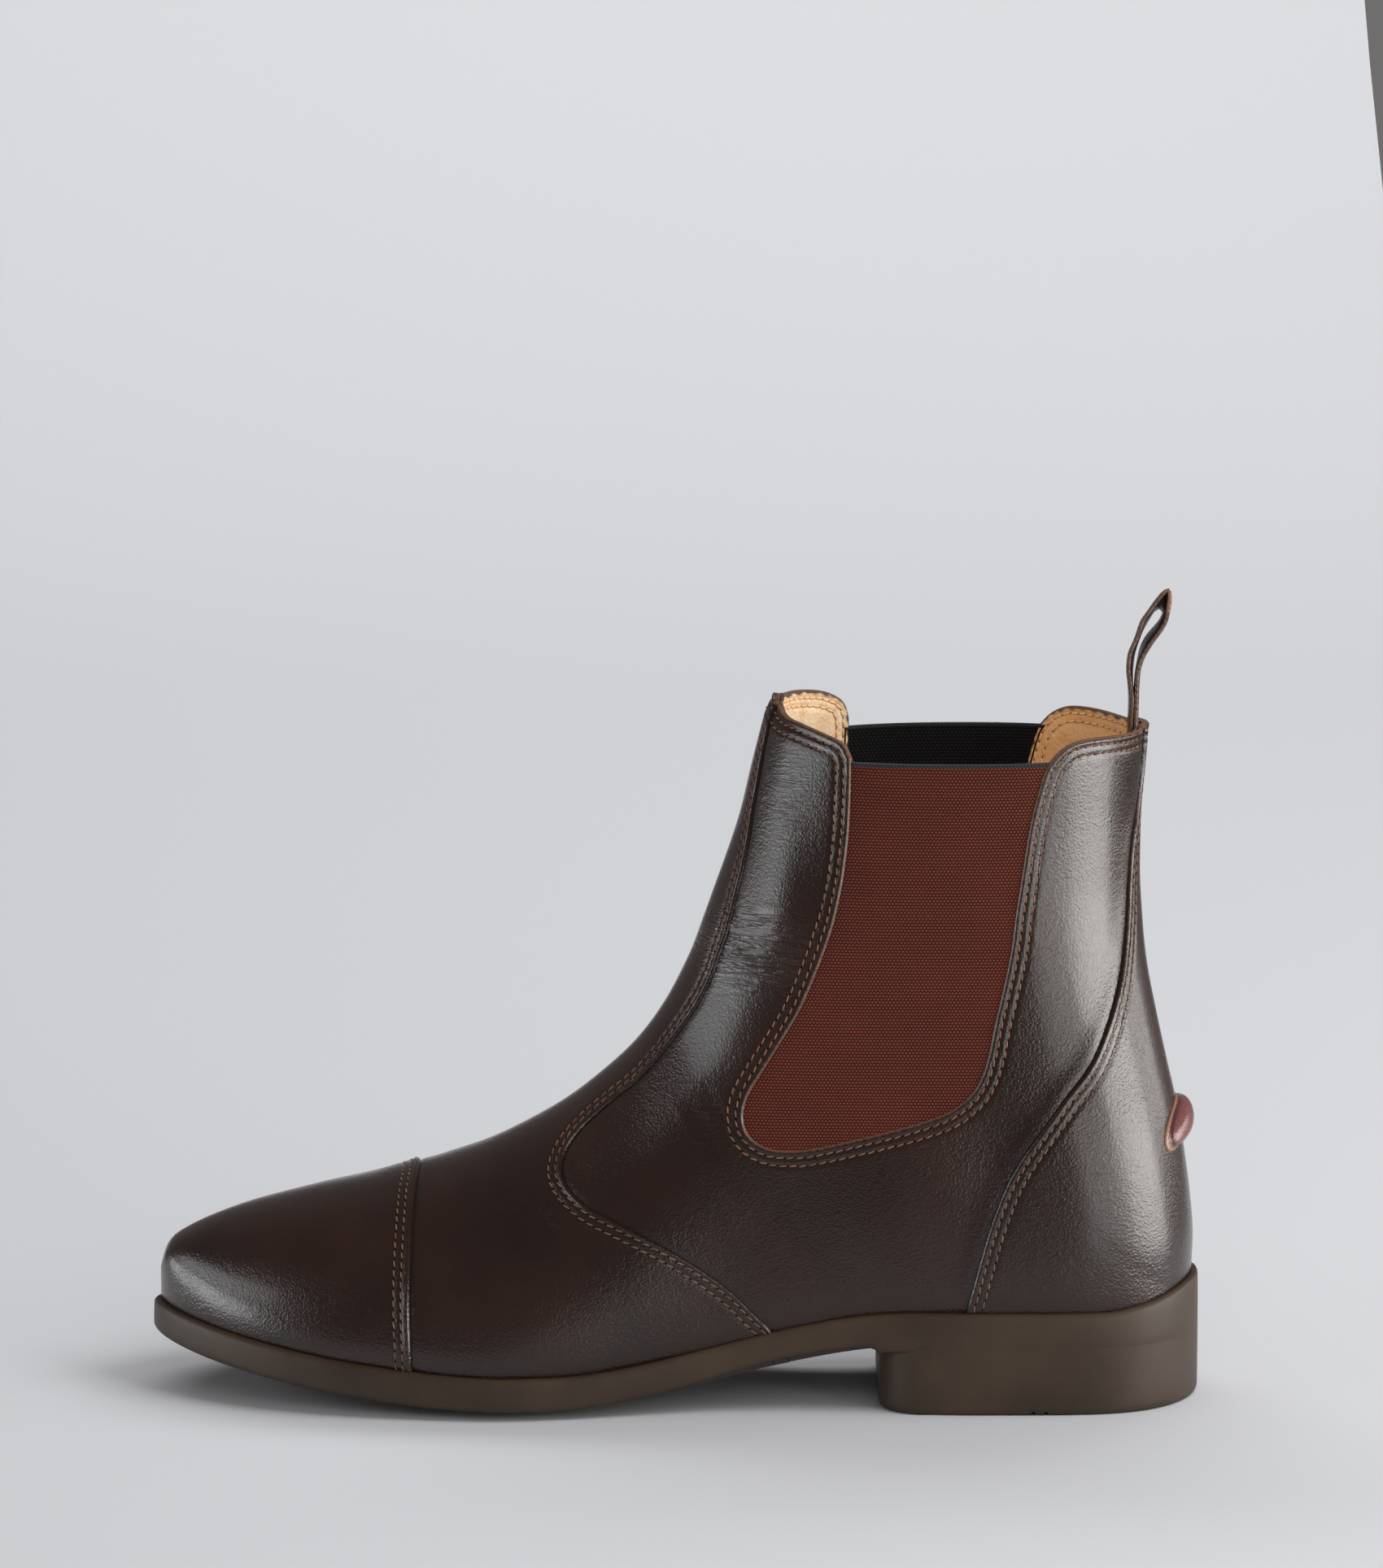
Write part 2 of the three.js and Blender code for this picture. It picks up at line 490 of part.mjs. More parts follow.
// pull loop: a strap bent over itself
const tabInside = (z) => back(Math.min(z, 0.968 * HEIGHT)) + WALL + TAPE_ROOM + TAPE / 2;
const loopPath = LOOP.map((p) => new THREE.Vector3(tabInside(p.up * HEIGHT) + p.off, p.up * HEIGHT, 0));
const loopLine = new THREE.CatmullRomCurve3(loopPath, false, 'centripetal')
  .getSpacedPoints(LOOP_PARTS);
const strap = [1, -1].flatMap((side) => {
  const edge = loopLine.map((p, k) => {
    const way = loopLine[Math.min(k + 1, LOOP_PARTS)].clone().sub(loopLine[Math.max(k - 1, 0)]).normalize();
    return [p.x - side * way.y * TAPE / 2, p.y + side * way.x * TAPE / 2];
  });
  return side > 0 ? edge : edge.reverse();
});
const pullLoop = prism(strap, -TAPE_WIDTH / 2, TAPE_WIDTH / 2);

// spur rest: a padded crescent on the back of the heel
const restRings = [];
for (let k = -REST_PARTS; k <= REST_PARTS; k += 1) {
  const t = k / REST_PARTS;
  const y = REST_HALF * t;
  const z = 0.398 * HEIGHT - 1.65 * REST_TALL * Math.abs(t) ** 2.2;
  const tall = REST_TALL * (1 - 0.35 * t * t);
  const proud = REST_PROUD * Math.sqrt(1 - 0.86 * t * t);
  const skinAt = (h) => {
    let x = back(h);
    while (deepHalf(x, h, 'outer') < Math.abs(y)) x += 0.05;
    return x;
  };
  const lean = new THREE.Vector2(-1, 1.25 * t).normalize();
  const ring = [];
  for (let j = 0; j < 10; j += 1) {
    const turn = Math.PI * (j / 9 - 0.5);
    const h = z + tall * Math.sin(turn);
    const rise = GAP + OVERLAY + proud * Math.cos(turn);
    ring.push(new THREE.Vector3(skinAt(h) + lean.x * rise, y + lean.y * rise, h));
  }
  const root = [z + 0.8 * tall, z + 0.27 * tall, z - 0.27 * tall, z - 0.8 * tall];
  ring.push(...root.map((h) => new THREE.Vector3(skinAt(h) + 1, y, h)));
  restRings.push(ring);
}
const spurRest = loft(restRings).subtract(form(2 * GAP + OVERLAY));

const leather = new THREE.MeshStandardMaterial({ color: 0x33292a, roughness: 0.42 });
const rubber = new THREE.MeshStandardMaterial({ color: 0x463e34, roughness: 0.6 });
const elastic = new THREE.MeshStandardMaterial({ color: 0x5a2a24, roughness: 0.9 });
const lining = new THREE.MeshStandardMaterial({ color: 0x6b5238, roughness: 0.8 });
const tape = new THREE.MeshStandardMaterial({ color: 0x241e1c, roughness: 0.7 });
const padding = new THREE.MeshStandardMaterial({ color: 0x553a36, roughness: 0.6 });

const boot = new THREE.Group();
boot.name = 'paddock_boot';
const place = (name, body, material) => {
  const raw = body.getMesh();
  const geometry = new THREE.BufferGeometry();
  geometry.setAttribute('position', new THREE.BufferAttribute(raw.vertProperties, 3));
  geometry.setIndex(new THREE.BufferAttribute(raw.triVerts, 1));
  geometry.computeVertexNormals();
  const mesh = new THREE.Mesh(geometry, material);
  mesh.name = name;
  boot.add(mesh);
};
place('outsole', outsole, rubber);
place('insole', insole, lining);
place('upper', upper, leather);
place('toe_cap', toeCap, leather);
place('backstay', backstay, leather);
place('gore_lateral', goreOuter, elastic);
place('gore_medial', goreInner, elastic);
place('pull_loop', pullLoop, tape);
place('spur_rest', spurRest, padding);

// the row's origin: middle of the footprint, on the floor
const bounds = new THREE.Box3().setFromObject(boot);
const middle = bounds.getCenter(new THREE.Vector3());
for (const mesh of boot.children) mesh.geometry.translate(-middle.x, -middle.y, -bounds.min.z);

export default boot;
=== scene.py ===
"""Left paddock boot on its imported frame: smooth dark brown leather, elastic gores, moulded rubber sole.

The form is worked out in millimetres from the back of the heel: x towards the toe, y negative on the
outer side, z up from the floor. to_row() turns it into the frame's metres.
"""
import math

import bpy
import numpy as np
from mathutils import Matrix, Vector
from mathutils.bvhtree import BVHTree
from mathutils.kdtree import KDTree


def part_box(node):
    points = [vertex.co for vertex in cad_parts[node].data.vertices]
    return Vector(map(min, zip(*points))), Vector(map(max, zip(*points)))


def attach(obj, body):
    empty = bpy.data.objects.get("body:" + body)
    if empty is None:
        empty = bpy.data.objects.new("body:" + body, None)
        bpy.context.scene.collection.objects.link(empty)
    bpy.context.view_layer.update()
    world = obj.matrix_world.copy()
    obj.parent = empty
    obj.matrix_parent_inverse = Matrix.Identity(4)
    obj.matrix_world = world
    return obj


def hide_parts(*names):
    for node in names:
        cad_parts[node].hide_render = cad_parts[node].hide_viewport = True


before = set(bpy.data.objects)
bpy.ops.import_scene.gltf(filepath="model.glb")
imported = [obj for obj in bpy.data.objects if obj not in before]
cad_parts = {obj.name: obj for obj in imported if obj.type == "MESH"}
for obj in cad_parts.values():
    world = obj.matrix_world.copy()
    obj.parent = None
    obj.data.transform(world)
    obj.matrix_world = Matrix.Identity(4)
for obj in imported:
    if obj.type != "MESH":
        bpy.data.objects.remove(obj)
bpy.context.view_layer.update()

# sizes in millimetres: the boot's own, then its sole's, then its leather's and its thread's
LENGTH = 275.5
HEIGHT = 186.0
BALL = 88.6
ANKLE = 59.8
SHAFT = 67.4
SEAT = 27.0
FORE = 11.2
SPRING = 12.0
SWING = 6.5

LEDGE = 1.9
CUP = 6.0
CUP_RUN = 25.0
BREAST = 84.5
BREAST_CORNER = 12.0
BREAST_DROP = 2.4
BREAST_RUN = 1.2
HEEL_TUCK = .6
HEEL_OVERLAP = 2.2
CROWN = 2.3
TOE_RUN = 14.0
GROOVES = (41.0, 44.4)
GROOVE_HALF = .45
GROOVE_DEEP = .7

WALL = 2.2
VAMP_RISE = 0.6
OVERLAY_RISE = 1.3
CAP_RISE = VAMP_RISE + OVERLAY_RISE
DEPTH = 9.0
TIP = LENGTH - LEDGE - CAP_RISE

STITCH_PITCH = 2.6
STITCH_LENGTH = 2.25
THREAD_RADIUS = 0.2
STITCH_SLANT = .16  # share by which each stitch leans across its row

# along the foot as a share of LENGTH, then the outer and the inner half width as shares of BALL
PLAN = np.array([
    (0.0, .352, .352), (.22, .352, .352), (.272, .343, .341), (.327, .331, .327), (.381, .324, .318),
    (.436, .333, .322), (.49, .361, .345), (.545, .404, .391), (.592, .445, .433), (.646, .484, .476),
    (.69, .497, .5), (.72, .497, .508)])
# the heel's back line: height as a share of HEIGHT, how far it stands in as a share of LENGTH
BACK = np.array([
    (.043, .0167), (.1183, .0123), (.1774, .0116), (.2258, .0102), (.2849, .0131), (.3387, .0181),
    (.4086, .0265), (.4785, .0377), (.5484, .0479), (.6183, .0566), (.6882, .0613), (.7634, .0639),
    (.8333, .0635), (.9032, .0595), (.9677, .0555), (1.0484, .0501), (1.1559, .0436)])
# fan of sections: ridge along and up, foot along and up, roundness, fullness; nan follows from the other
FAN = np.array([
    (1, .1559, 1, np.nan, .158, .226), (.9988, .173, .9988, np.nan, .169, .226),
    (.9924, .1972, .9924, np.nan, .203, .226), (.978, .2128, .978, np.nan, .248, .237),
    (.9507, .2312, .9507, np.nan, .293, .248), (.9073, .2538, .9073, np.nan, .339, .282),
    (.852, .2747, .852, np.nan, .384, .327), (.7895, .2957, .7876, np.nan, .406, .372),
    (.7306, .3242, .7214, np.nan, .406, .406), (.6772, .3543, .6515, np.nan, .361, .429),
    (.6294, .393, .5778, np.nan, .305, .429), (.5848, .4409, .5006, np.nan, .271, .418),
    (.5469, .4935, .4122, np.nan, .248, .406), (.516, .5532, .3092, np.nan, .226, .395),
    (.4932, .6194, .1914, np.nan, .226, .384), (.4781, .6774, .081, .0806, .226, .384),
    (.4649, .7312, .0206, .1183, .226, .384), (.4527, .7823, np.nan, .2366, .226, .384),
    (.4409, .8333, np.nan, .3871, .226, .372), (.4306, .8871, np.nan, .5591, .226, .361),
    (.4196, .9462, np.nan, .7419, .226, .35), (.4093, 1.0027, np.nan, .9032, .226, .35),
    (.3997, 1.0591, np.nan, 1.0269, .226, .35), (.3909, 1.1129, np.nan, 1.1344, .226, .35)])

# lines of the side view, as shares of LENGTH and HEIGHT; the inner front tab stands 3 mm higher
FRONT_TAB = {
    -1: [(.47, 1.0), (.41, .998), (.4045, .991), (.4, .98), (.392, .9745), (.3859, .973), (.3625, .9634),
         (.3445, .9531), (.3377, .9372)],
    1: [(.47, .999), (.41, .997), (.4, .993), (.3859, .991), (.3625, .983), (.3445, .968), (.3377, .95)],
}
GORE = [
    (.3358, .924), (.337, .8436), (.3401, .7911), (.3444, .7473), (.3515, .6988), (.3602, .6585),
    (.3703, .6188), (.382, .5785), (.3936, .5472), (.4081, .5116), (.4213, .48), (.43, .4578),
    (.435, .4358), (.4352, .4164), (.4308, .3994), (.4208, .3858), (.4078, .3785), (.3886, .377),
    (.3657, .381), (.3351, .3915), (.3007, .4047), (.2701, .4178), (.2434, .4329), (.2244, .4537),
    (.213, .4791), (.2055, .5137), (.2003, .5542), (.1936, .5981), (.1855, .6571), (.1804, .716),
    (.175, .7691), (.1676, .8394), (.16, .8863), (.1532, .9179)]
REAR_TAB = [
    (.1466, .9321), (.1368, .9458), (.121, .9555), (.097, .9567), (.0612, .953), (.045, .963), (-.08, .97)]
VAMP = [
    (.4, 1.03), (.4054, .9753), (.4131, .9185), (.4223, .8513), (.4326, .7767), (.4414, .728), (.4483, .6853),
    (.4575, .6417), (.466, .6059), (.4806, .5644), (.5013, .5189), (.5306, .4672), (.5607, .4286),
    (.5838, .3978), (.5984, .3731), (.606, .3498), (.6059, .3312), (.5981, .3129), (.5803, .2925),
    (.5542, .2743), (.525, .2533), (.4955, .2287), (.466, .1987), (.4429, .1712), (.4252, .144),
    (.4117, .1233), (.398, .09)]
BACKSTAY = [
    (.056, 1.03), (.0591, .9455), (.0617, .8906), (.0664, .8394), (.0716, .7897), (.0739, .7384),
    (.0754, .6872), (.0795, .6315), (.0861, .5883), (.0971, .5398), (.1111, .4957), (.1345, .4507),
    (.1539, .4102), (.1733, .3694), (.1888, .3277), (.2024, .2742), (.2118, .2268),
    (.2213, .173), (.2251, .1513), (.23, .1)]
TOE_CAP = [(.736, .42), (.7409, .3266), (.7449, .2947), (.7471, .2489), (.7485, .1964), (.7486, .1404),
           (.7464, .0701), (.744, .03)]
# the pull loop's two edges, up the front strand and down the back one: mm towards the toe from the middle
# of the strands where they enter the tab, then height as a share of HEIGHT; the far edge is a tighter loop
LOOP_NEAR = [
    [(.35, .93), (.3, .958), (.1, .995), (.75, 1.021), (1.15, 1.039), (.75, 1.06), (-.45, 1.075),
     (-1.5, 1.088), (-2.5, 1.106), (-4.3, 1.12), (-6.3, 1.135), (-7.9, 1.146), (-9.1, 1.15)],
    [(-9.1, 1.15), (-9.5, 1.142), (-9.2, 1.1255), (-8.5, 1.105), (-6.85, 1.09), (-4.7, 1.074), (-2.45, 1.054),
     (-1.35, 1.0366), (-1.05, 1.0156), (-.95, .9946), (-.85, .958), (-.85, .93)]]
LOOP_FAR = [
    [(.35, .93), (.1, .958), (0, .984), (.05, 1.011), (-.15, 1.037), (-.75, 1.058), (-2.25, 1.0795),
     (-4.15, 1.1), (-5.5, 1.11), (-7.2, 1.115)],
    [(-7.2, 1.115), (-8.6, 1.107), (-7.6, 1.094), (-5.25, 1.081), (-3.35, 1.066), (-2.35, 1.049),
     (-1.85, 1.027), (-1.6, 1.0108), (-1.3, .984), (-1.1, .958), (-.9, .93)]]
LOOP_HALF = 5.5
STRAP_HALF = .75
LOOP_ENTRY = .968  # height where the strands go into the tab, as a share of HEIGHT
STRAND_POINTS = 46
STRAP_AROUND = 28

# spur rest: half its length and height, how far it stands out, how far its ends droop, its middle's height
REST_LONG = 14.6
REST_TALL = 4.4
REST_PROUD = 3.3
REST_DROOP = 3.9
REST_UP = .396
REST_AROUND = 88
REST_FLANGE = .6

# creases as soft troughs: points as shares of LENGTH and HEIGHT, depth mm, width mm,
# side (-1 outer, 1 inner, 0 both)
CREASES = [
    ([(.456, .667), (.423, .673), (.385, .688)], .38, 1.6, 0),
    ([(.454, .648), (.419, .653), (.382, .668)], .36, 1.5, 0),
    ([(.451, .632), (.416, .637), (.386, .65)], .35, 1.7, 0),
    ([(.433, .697), (.408, .696), (.388, .689)], .12, 1.9, 0),
    ([(.442, .615), (.415, .62), (.396, .629)], .25, 1.8, 0),
    ([(.484, .443), (.475, .417), (.461, .397)], .3, 2.0, -1),
    ([(.471, .455), (.461, .429), (.446, .408)], .25, 2.0, -1),
    ([(.634, .292), (.624, .268), (.608, .239)], .25, 2.2, -1),
]
# where the grain gathers into fine wrinkles: place, reach along and up in mm, strength
WRINKLED = [
    ((.42, .655), 15, 9, 1.0), ((.466, .425), 8, 9, .25), ((.62, .265), 7, 7, .25), ((.395, .86), 9, 14, .25)]


# the boot's form
def smooth(t):
    """Eases from 0 to 1."""
    t = np.clip(t, 0, 1)
    return t * t * (3 - 2 * t)


def running_length(line):
    """Length along a line at each of its points."""
    return np.r_[0, np.cumsum(np.linalg.norm(np.diff(line, axis=0), axis=1))]


def places_along(line, run, at):
    """Points of a line at given lengths along it."""
    return np.stack([np.interp(at, run, line[:, c]) for c in range(line.shape[1])], -1)


def read(table, column, at):
    """Smooth curve through a table's column; flat where the table turns."""
    xs, ys = table[:, 0], table[:, column]
    rise = np.diff(ys) / np.diff(xs)
    gap = np.diff(xs)
    slope = np.empty(len(xs))
    slope[0], slope[-1] = rise[0], rise[-1]
    blend = (rise[:-1] * gap[1:] + rise[1:] * gap[:-1]) / (gap[1:] + gap[:-1])
    slope[1:-1] = np.where(rise[:-1] * rise[1:] <= 0, 0, blend)
    x = np.clip(at, xs[0], xs[-1])
    i = np.clip(np.searchsorted(xs, x) - 1, 0, len(xs) - 2)
    span = xs[i + 1] - xs[i]
    t = (x - xs[i]) / span
    return ((2 * t**3 - 3 * t**2 + 1) * ys[i] + (t**3 - 2 * t**2 + t) * span * slope[i]
            + (3 * t**2 - 2 * t**3) * ys[i + 1] + (t**3 - t**2) * span * slope[i + 1])


def cover(x):
    """How far the outermost leather stands off the form: backstay, then vamp, then toe cap."""
    along = x / LENGTH
    return (OVERLAY_RISE * (1 - smooth((along - .18) / .11)) + VAMP_RISE * smooth((along - .363) / .109)
            + OVERLAY_RISE * smooth((along - .719) / .058))


def feather(x):
    """Height of the line where leather meets sole."""
    toe = SPRING * np.maximum((x / LENGTH - .66) / .34, 0) ** 1.6
    return FORE + toe + (SEAT - FORE) * smooth((.62 - x / LENGTH) / .35)


def sole_top(x):
    """The sole's upper edge, which climbs into a cup behind the heel."""
    return feather(x) + CUP * np.maximum(1 - np.maximum(x, 0) / CUP_RUN, 0) ** 1.3


def crown(x):
    """Bulge of the forepart's tread under its middle."""
    return CROWN * smooth((x / LENGTH - .4) / .18)


def tread_drop(x):
    """How far the tread's middle hangs below its edges: nothing at the very toe."""
    return crown(x) * smooth((TIP + LEDGE - x) / TOE_RUN)


def sole_under(x):
    """The sole's lower edge before the heel: arched at the waist, with a fillet into the heel's breast."""
    waist = 1.2 * np.exp(-((x / LENGTH - .4) / .09) ** 2)
    waist -= BREAST_DROP * np.exp(np.minimum(BREAST - x, 0) / BREAST_RUN)
    return feather(x) - (FORE - CROWN) - crown(x) + waist


def swing(x):
    """How far the foot's middle line swings inwards towards the toe."""
    return SWING * smooth((x / LENGTH - .38) / .4)


def back(z):
    """The heel's back line at a height."""
    return LENGTH * read(BACK, 1, z / HEIGHT)


def plan_half(x, side):
    """Half width of the foot seen from above; past its widest place it closes in to the toe."""
    peak = (.675 if side < 0 else .715) * LENGTH
    full = BALL * read(PLAN, 1 if side < 0 else 2, np.minimum(x, peak) / LENGTH) - cover(x)
    along = np.clip((x - peak) / (TIP - peak), 0, 1)
    return full * (1 - along ** 2.15) ** .6


def half(x, z, down, roundness, full, side):
    """Half width of the form at a point of the side view, down below its section's ridge."""
    above = z - feather(x)
    leg = smooth((above / HEIGHT - .065) / .403)
    foot = plan_half(x, side) - 1.2 * np.exp(-np.maximum(above, 0) / 3)
    shaft = (ANKLE + (SHAFT - ANKLE) * smooth((z / HEIGHT - .511) / .511)) / 2
    trunk = np.maximum(foot * (1 - leg) + shaft * leg, 1e-6)
    top = 1 - np.exp(-(2 * roundness * BALL * down / trunk**2 + (down / (full * BALL)) ** 2))
    behind = np.maximum(x - back(z), 0)
    leaner = smooth((z / HEIGHT - .323) / .43)
    rear = 1 - np.exp(-(2 * BALL * (.305 - .056 * leaner) * behind / trunk**2
                        + (behind / (BALL * (.271 + .045 * leaner))) ** 2))
    return trunk * np.sqrt(top * rear)


def deep_half(x, z, side):
    """Half width far below any ridge, as the sole sees it."""
    return half(x, z, 1e6, 1, 1, side)


foot_x = np.where(np.isnan(FAN[:, 2]), back(np.nan_to_num(FAN[:, 3]) * HEIGHT), FAN[:, 2] * TIP)
foot_z = np.where(np.isnan(FAN[:, 3]), feather(foot_x) - DEPTH, FAN[:, 3] * HEIGHT)
fan = np.c_[np.arange(len(FAN)), FAN[:, 0] * TIP, FAN[:, 1] * HEIGHT, foot_x, foot_z, FAN[:, 4], FAN[:, 5]]
first_on_back = int(np.argmax(np.isnan(FAN[:, 2]))) - 1


def fan_at(k):
    """The fan's values at any section; above the seat its foot stays on the back line."""
    row = np.stack([read(fan, c, k) for c in range(1, 7)], -1)
    closing = smooth((k - first_on_back) / .3)
    row[:, 2] += closing * (back(row[:, 3]) - row[:, 2])
    return row


def fan_rows(count):
    """Sections spaced by how far the skin moves from one to the next."""
    k = np.linspace(0, len(fan) - 1, 921)
    row = fan_at(k)
    middle = (row[:, 0:2] + row[:, 2:4]) / 2
    down = np.hypot(*(row[:, 0:2] - middle).T)
    wide = half(middle[:, 0], middle[:, 1], down, row[:, 4], row[:, 5], -1)
    step = (.35 * np.hypot(*np.diff(row[:, 0:2], axis=0).T) + .25 * np.hypot(*np.diff(row[:, 2:4], axis=0).T)
            + .4 * np.sqrt((np.diff(middle, axis=0) ** 2).sum(1) + np.diff(wide) ** 2))
    run = np.r_[0, np.cumsum(step)]
    return fan_at(np.interp(np.linspace(0, run[-1], count), run, k))


def section(row, side, count):
    """One half section, from ridge to foot, as evenly spaced points."""
    q = (1 - np.cos(np.linspace(0, np.pi, 241))) / 2
    x = row[0] + (row[2] - row[0]) * q
    z = row[1] + (row[3] - row[1]) * q
    y = swing(x) + side * half(x, z, np.hypot(row[2] - row[0], row[3] - row[1]) * q, row[4], row[5], side)
    line = np.c_[x, y, z]
    run = running_length(line)
    return places_along(line, run, np.linspace(0, run[-1], count))


def grid_faces(rows, columns):
    """Triangles of a grid of points."""
    a = (np.arange(rows - 1)[:, None] * columns + np.arange(columns - 1)).ravel()
    return np.r_[np.c_[a, a + 1, a + columns + 1], np.c_[a, a + columns + 1, a + columns]]


def vertex_normals(points, tris):
    """Normals at the points, weighed by area."""
    lean = np.cross(points[tris[:, 1]] - points[tris[:, 0]], points[tris[:, 2]] - points[tris[:, 0]])
    out = np.zeros_like(points)
    for c in range(3):
        np.add.at(out, tris[:, c], lean)
    return out / np.maximum(np.linalg.norm(out, axis=1), 1e-12)[:, None]


class Skin:
    """Triangles on the form with, at each point, its normal and its distances to the boot's lines."""

    def __init__(self, points, normals, tris, fields):
        self.points, self.normals, self.tris, self.fields = points, normals, tris, fields

    def copy(self):
        return Skin(self.points, self.normals, self.tris, dict(self.fields))

    def split(self, field, level):
        """Gives one value of a field its own line of points."""
        f = self.fields[field] - level
        f = np.where(np.abs(f) < .05, 0, f)
        s = np.sign(f)[self.tris]
        cross = (s.min(1) < 0) & (s.max(1) > 0)
        if not cross.any():
            return self
        cut, s = self.tris[cross], s[cross]
        through = (s == 0).any(1)
        lone = np.where(through, np.argmax(s == 0, 1), np.argmax(s == -s.sum(1, keepdims=True), 1))
        r = np.arange(len(cut))
        a, b, c = cut[r, lone], cut[r, (lone + 1) % 3], cut[r, (lone + 2) % 3]
        ends = np.r_[np.c_[a, b][~through], np.c_[a, c][~through], np.c_[b, c][through]]
        low, high = ends.min(1), ends.max(1)
        key = low.astype(np.int64) * len(f) + high
        _, first, back_to = np.unique(key, return_index=True, return_inverse=True)
        low, high = low[first], high[first]
        t = (f[low] / (f[low] - f[high]))[:, None]
        new = len(f) + back_to
        n = (~through).sum()
        p, q, m = new[:n], new[n:2 * n], new[2 * n:]
        a1, b1, c1 = a[~through], b[~through], c[~through]
        a2, b2, c2 = a[through], b[through], c[through]
        self.tris = np.r_[self.tris[~cross], np.c_[a1, p, q], np.c_[p, b1, c1], np.c_[p, c1, q],
                          np.c_[a2, b2, m], np.c_[a2, m, c2]]

        def mix(v):
            share = t if v.ndim > 1 else t[:, 0]
            return np.concatenate([v, v[low] * (1 - share) + v[high] * share])

        self.points = mix(self.points)
        normals = mix(self.normals)
        self.normals = normals / np.linalg.norm(normals, axis=1)[:, None]
        self.fields = {k: mix(v) for k, v in self.fields.items()}
        self.fields[field][-len(low):] = level
        return self

    def keep(self, field, level, sign=1):
        """Cuts away what lies on the other side of a line."""
        self.split(field, level)
        f = sign * (self.fields[field] - level)
        f = np.where(np.abs(f) < .05, 0, f)[self.tris]
        self.tris = self.tris[(f.min(1) >= 0) & (f.max(1) > 0)]
        return self.compact()

    def keep_where(self, mask):
        """Keeps the triangles whose three points are all in the mask."""
        self.tris = self.tris[mask[self.tris].all(1)]
        return self.compact()

    def compact(self):
        """Drops the points that no triangle uses."""
        used, self.tris = np.unique(self.tris, return_inverse=True)
        self.tris = self.tris.reshape(-1, 3)
        self.points, self.normals = self.points[used], self.normals[used]
        self.fields = {k: v[used] for k, v in self.fields.items()}
        return self


def raw_form(rows, around):
    """The whole form as triangles: rows of sections, each out over one side and back over the other."""
    sections = []
    for row in fan_rows(rows):
        outer, inner = section(row, -1, around), section(row, 1, around)
        sections.append(np.r_[inner[:0:-1], outer])
    points = np.concatenate(sections)
    tris = grid_faces(rows, 2 * around - 1)
    _, first, weld = np.unique(np.round(points, 3), axis=0, return_index=True, return_inverse=True)
    points, tris = points[first], weld.ravel()[tris]
    tris = tris[(tris[:, 0] != tris[:, 1]) & (tris[:, 1] != tris[:, 2]) & (tris[:, 2] != tris[:, 0])]
    normals = vertex_normals(points, tris)
    if (normals * (points - [LENGTH * .4, 0, 50]))[:, 1].mean() < 0:
        tris, normals = tris[:, ::-1], -normals
    return points, normals, tris


# seams and creases on the form
def curve_through(points, steps):
    """A smooth curve through points, with so many steps from each to the next, and its running length."""
    p = np.asarray(points, float)
    p = np.r_[[2 * p[0] - p[1]], p, [2 * p[-1] - p[-2]]]
    t = np.linspace(0, 1, steps, endpoint=False)[:, None]
    pieces = []
    for a, b, c, d in zip(p, p[1:], p[2:], p[3:]):
        pieces.append(.5 * (2 * b + (c - a) * t + (2 * a - 5 * b + 4 * c - d) * t**2
                            + (3 * b - a - 3 * c + d) * t**3))
    line = np.concatenate(pieces + [[p[-2]]])
    return line, running_length(line)


def spline(shares, step):
    """Evenly spaced points of a smooth curve through points given as shares, in mm."""
    line, run = curve_through(np.array(shares, float) * [LENGTH, HEIGHT], 24)
    return places_along(line, run, np.linspace(0, run[-1], int(run[-1] / step) + 2))


dense = fan_at(np.linspace(0, len(fan) - 1, 1601))
dense_way = dense[:, 2:4] - dense[:, 0:2]
dense_deep = np.linalg.norm(dense_way, axis=1)
dense_way = dense_way / dense_deep[:, None]


def on_form(line, side):
    """Lifts a line of the side view onto the form; points beyond the outline are left out."""
    v = line[:, None] - dense[None, :, 0:2]
    down = (v * dense_way).sum(-1)
    away = np.abs(v[..., 0] * dense_way[:, 1] - v[..., 1] * dense_way[:, 0])
    away = away + np.where((down < 0) | (down > dense_deep + 6), 99, 0)
    i = away.argmin(1)
    r = np.arange(len(line))
    good = (away[r, i] < 2) & (line[:, 0] > back(line[:, 1]))
    x, z = line[:, 0], line[:, 1]
    y = swing(x) + side * half(x, z, np.maximum(down[r, i], 0), dense[i, 4], dense[i, 5], side)
    return np.c_[x, y, z], good


def seam_on_form(line, side):
    """A seam in the side view and on the form, closed in on the outline where it runs over it."""
    good = on_form(line, side)[1]
    out = [line[good]]
    for i in np.nonzero(good[:-1] != good[1:])[0]:
        inside, outside = (line[i], line[i + 1]) if good[i] else (line[i + 1], line[i])
        last = inside
        for _ in range(22):
            middle = (inside + outside) / 2
            inside, outside = (middle, outside) if on_form(middle[None], side)[1][0] else (inside, middle)
        close = last + (inside - last) * (1 - (1 - np.linspace(0, 1, 12)[1:, None]) ** 2)
        out = [out[0], close] if good[i] else [close[::-1], out[0]]
        out = [np.concatenate(out)]
    line = out[0]
    return line, on_form(line, side)[0]


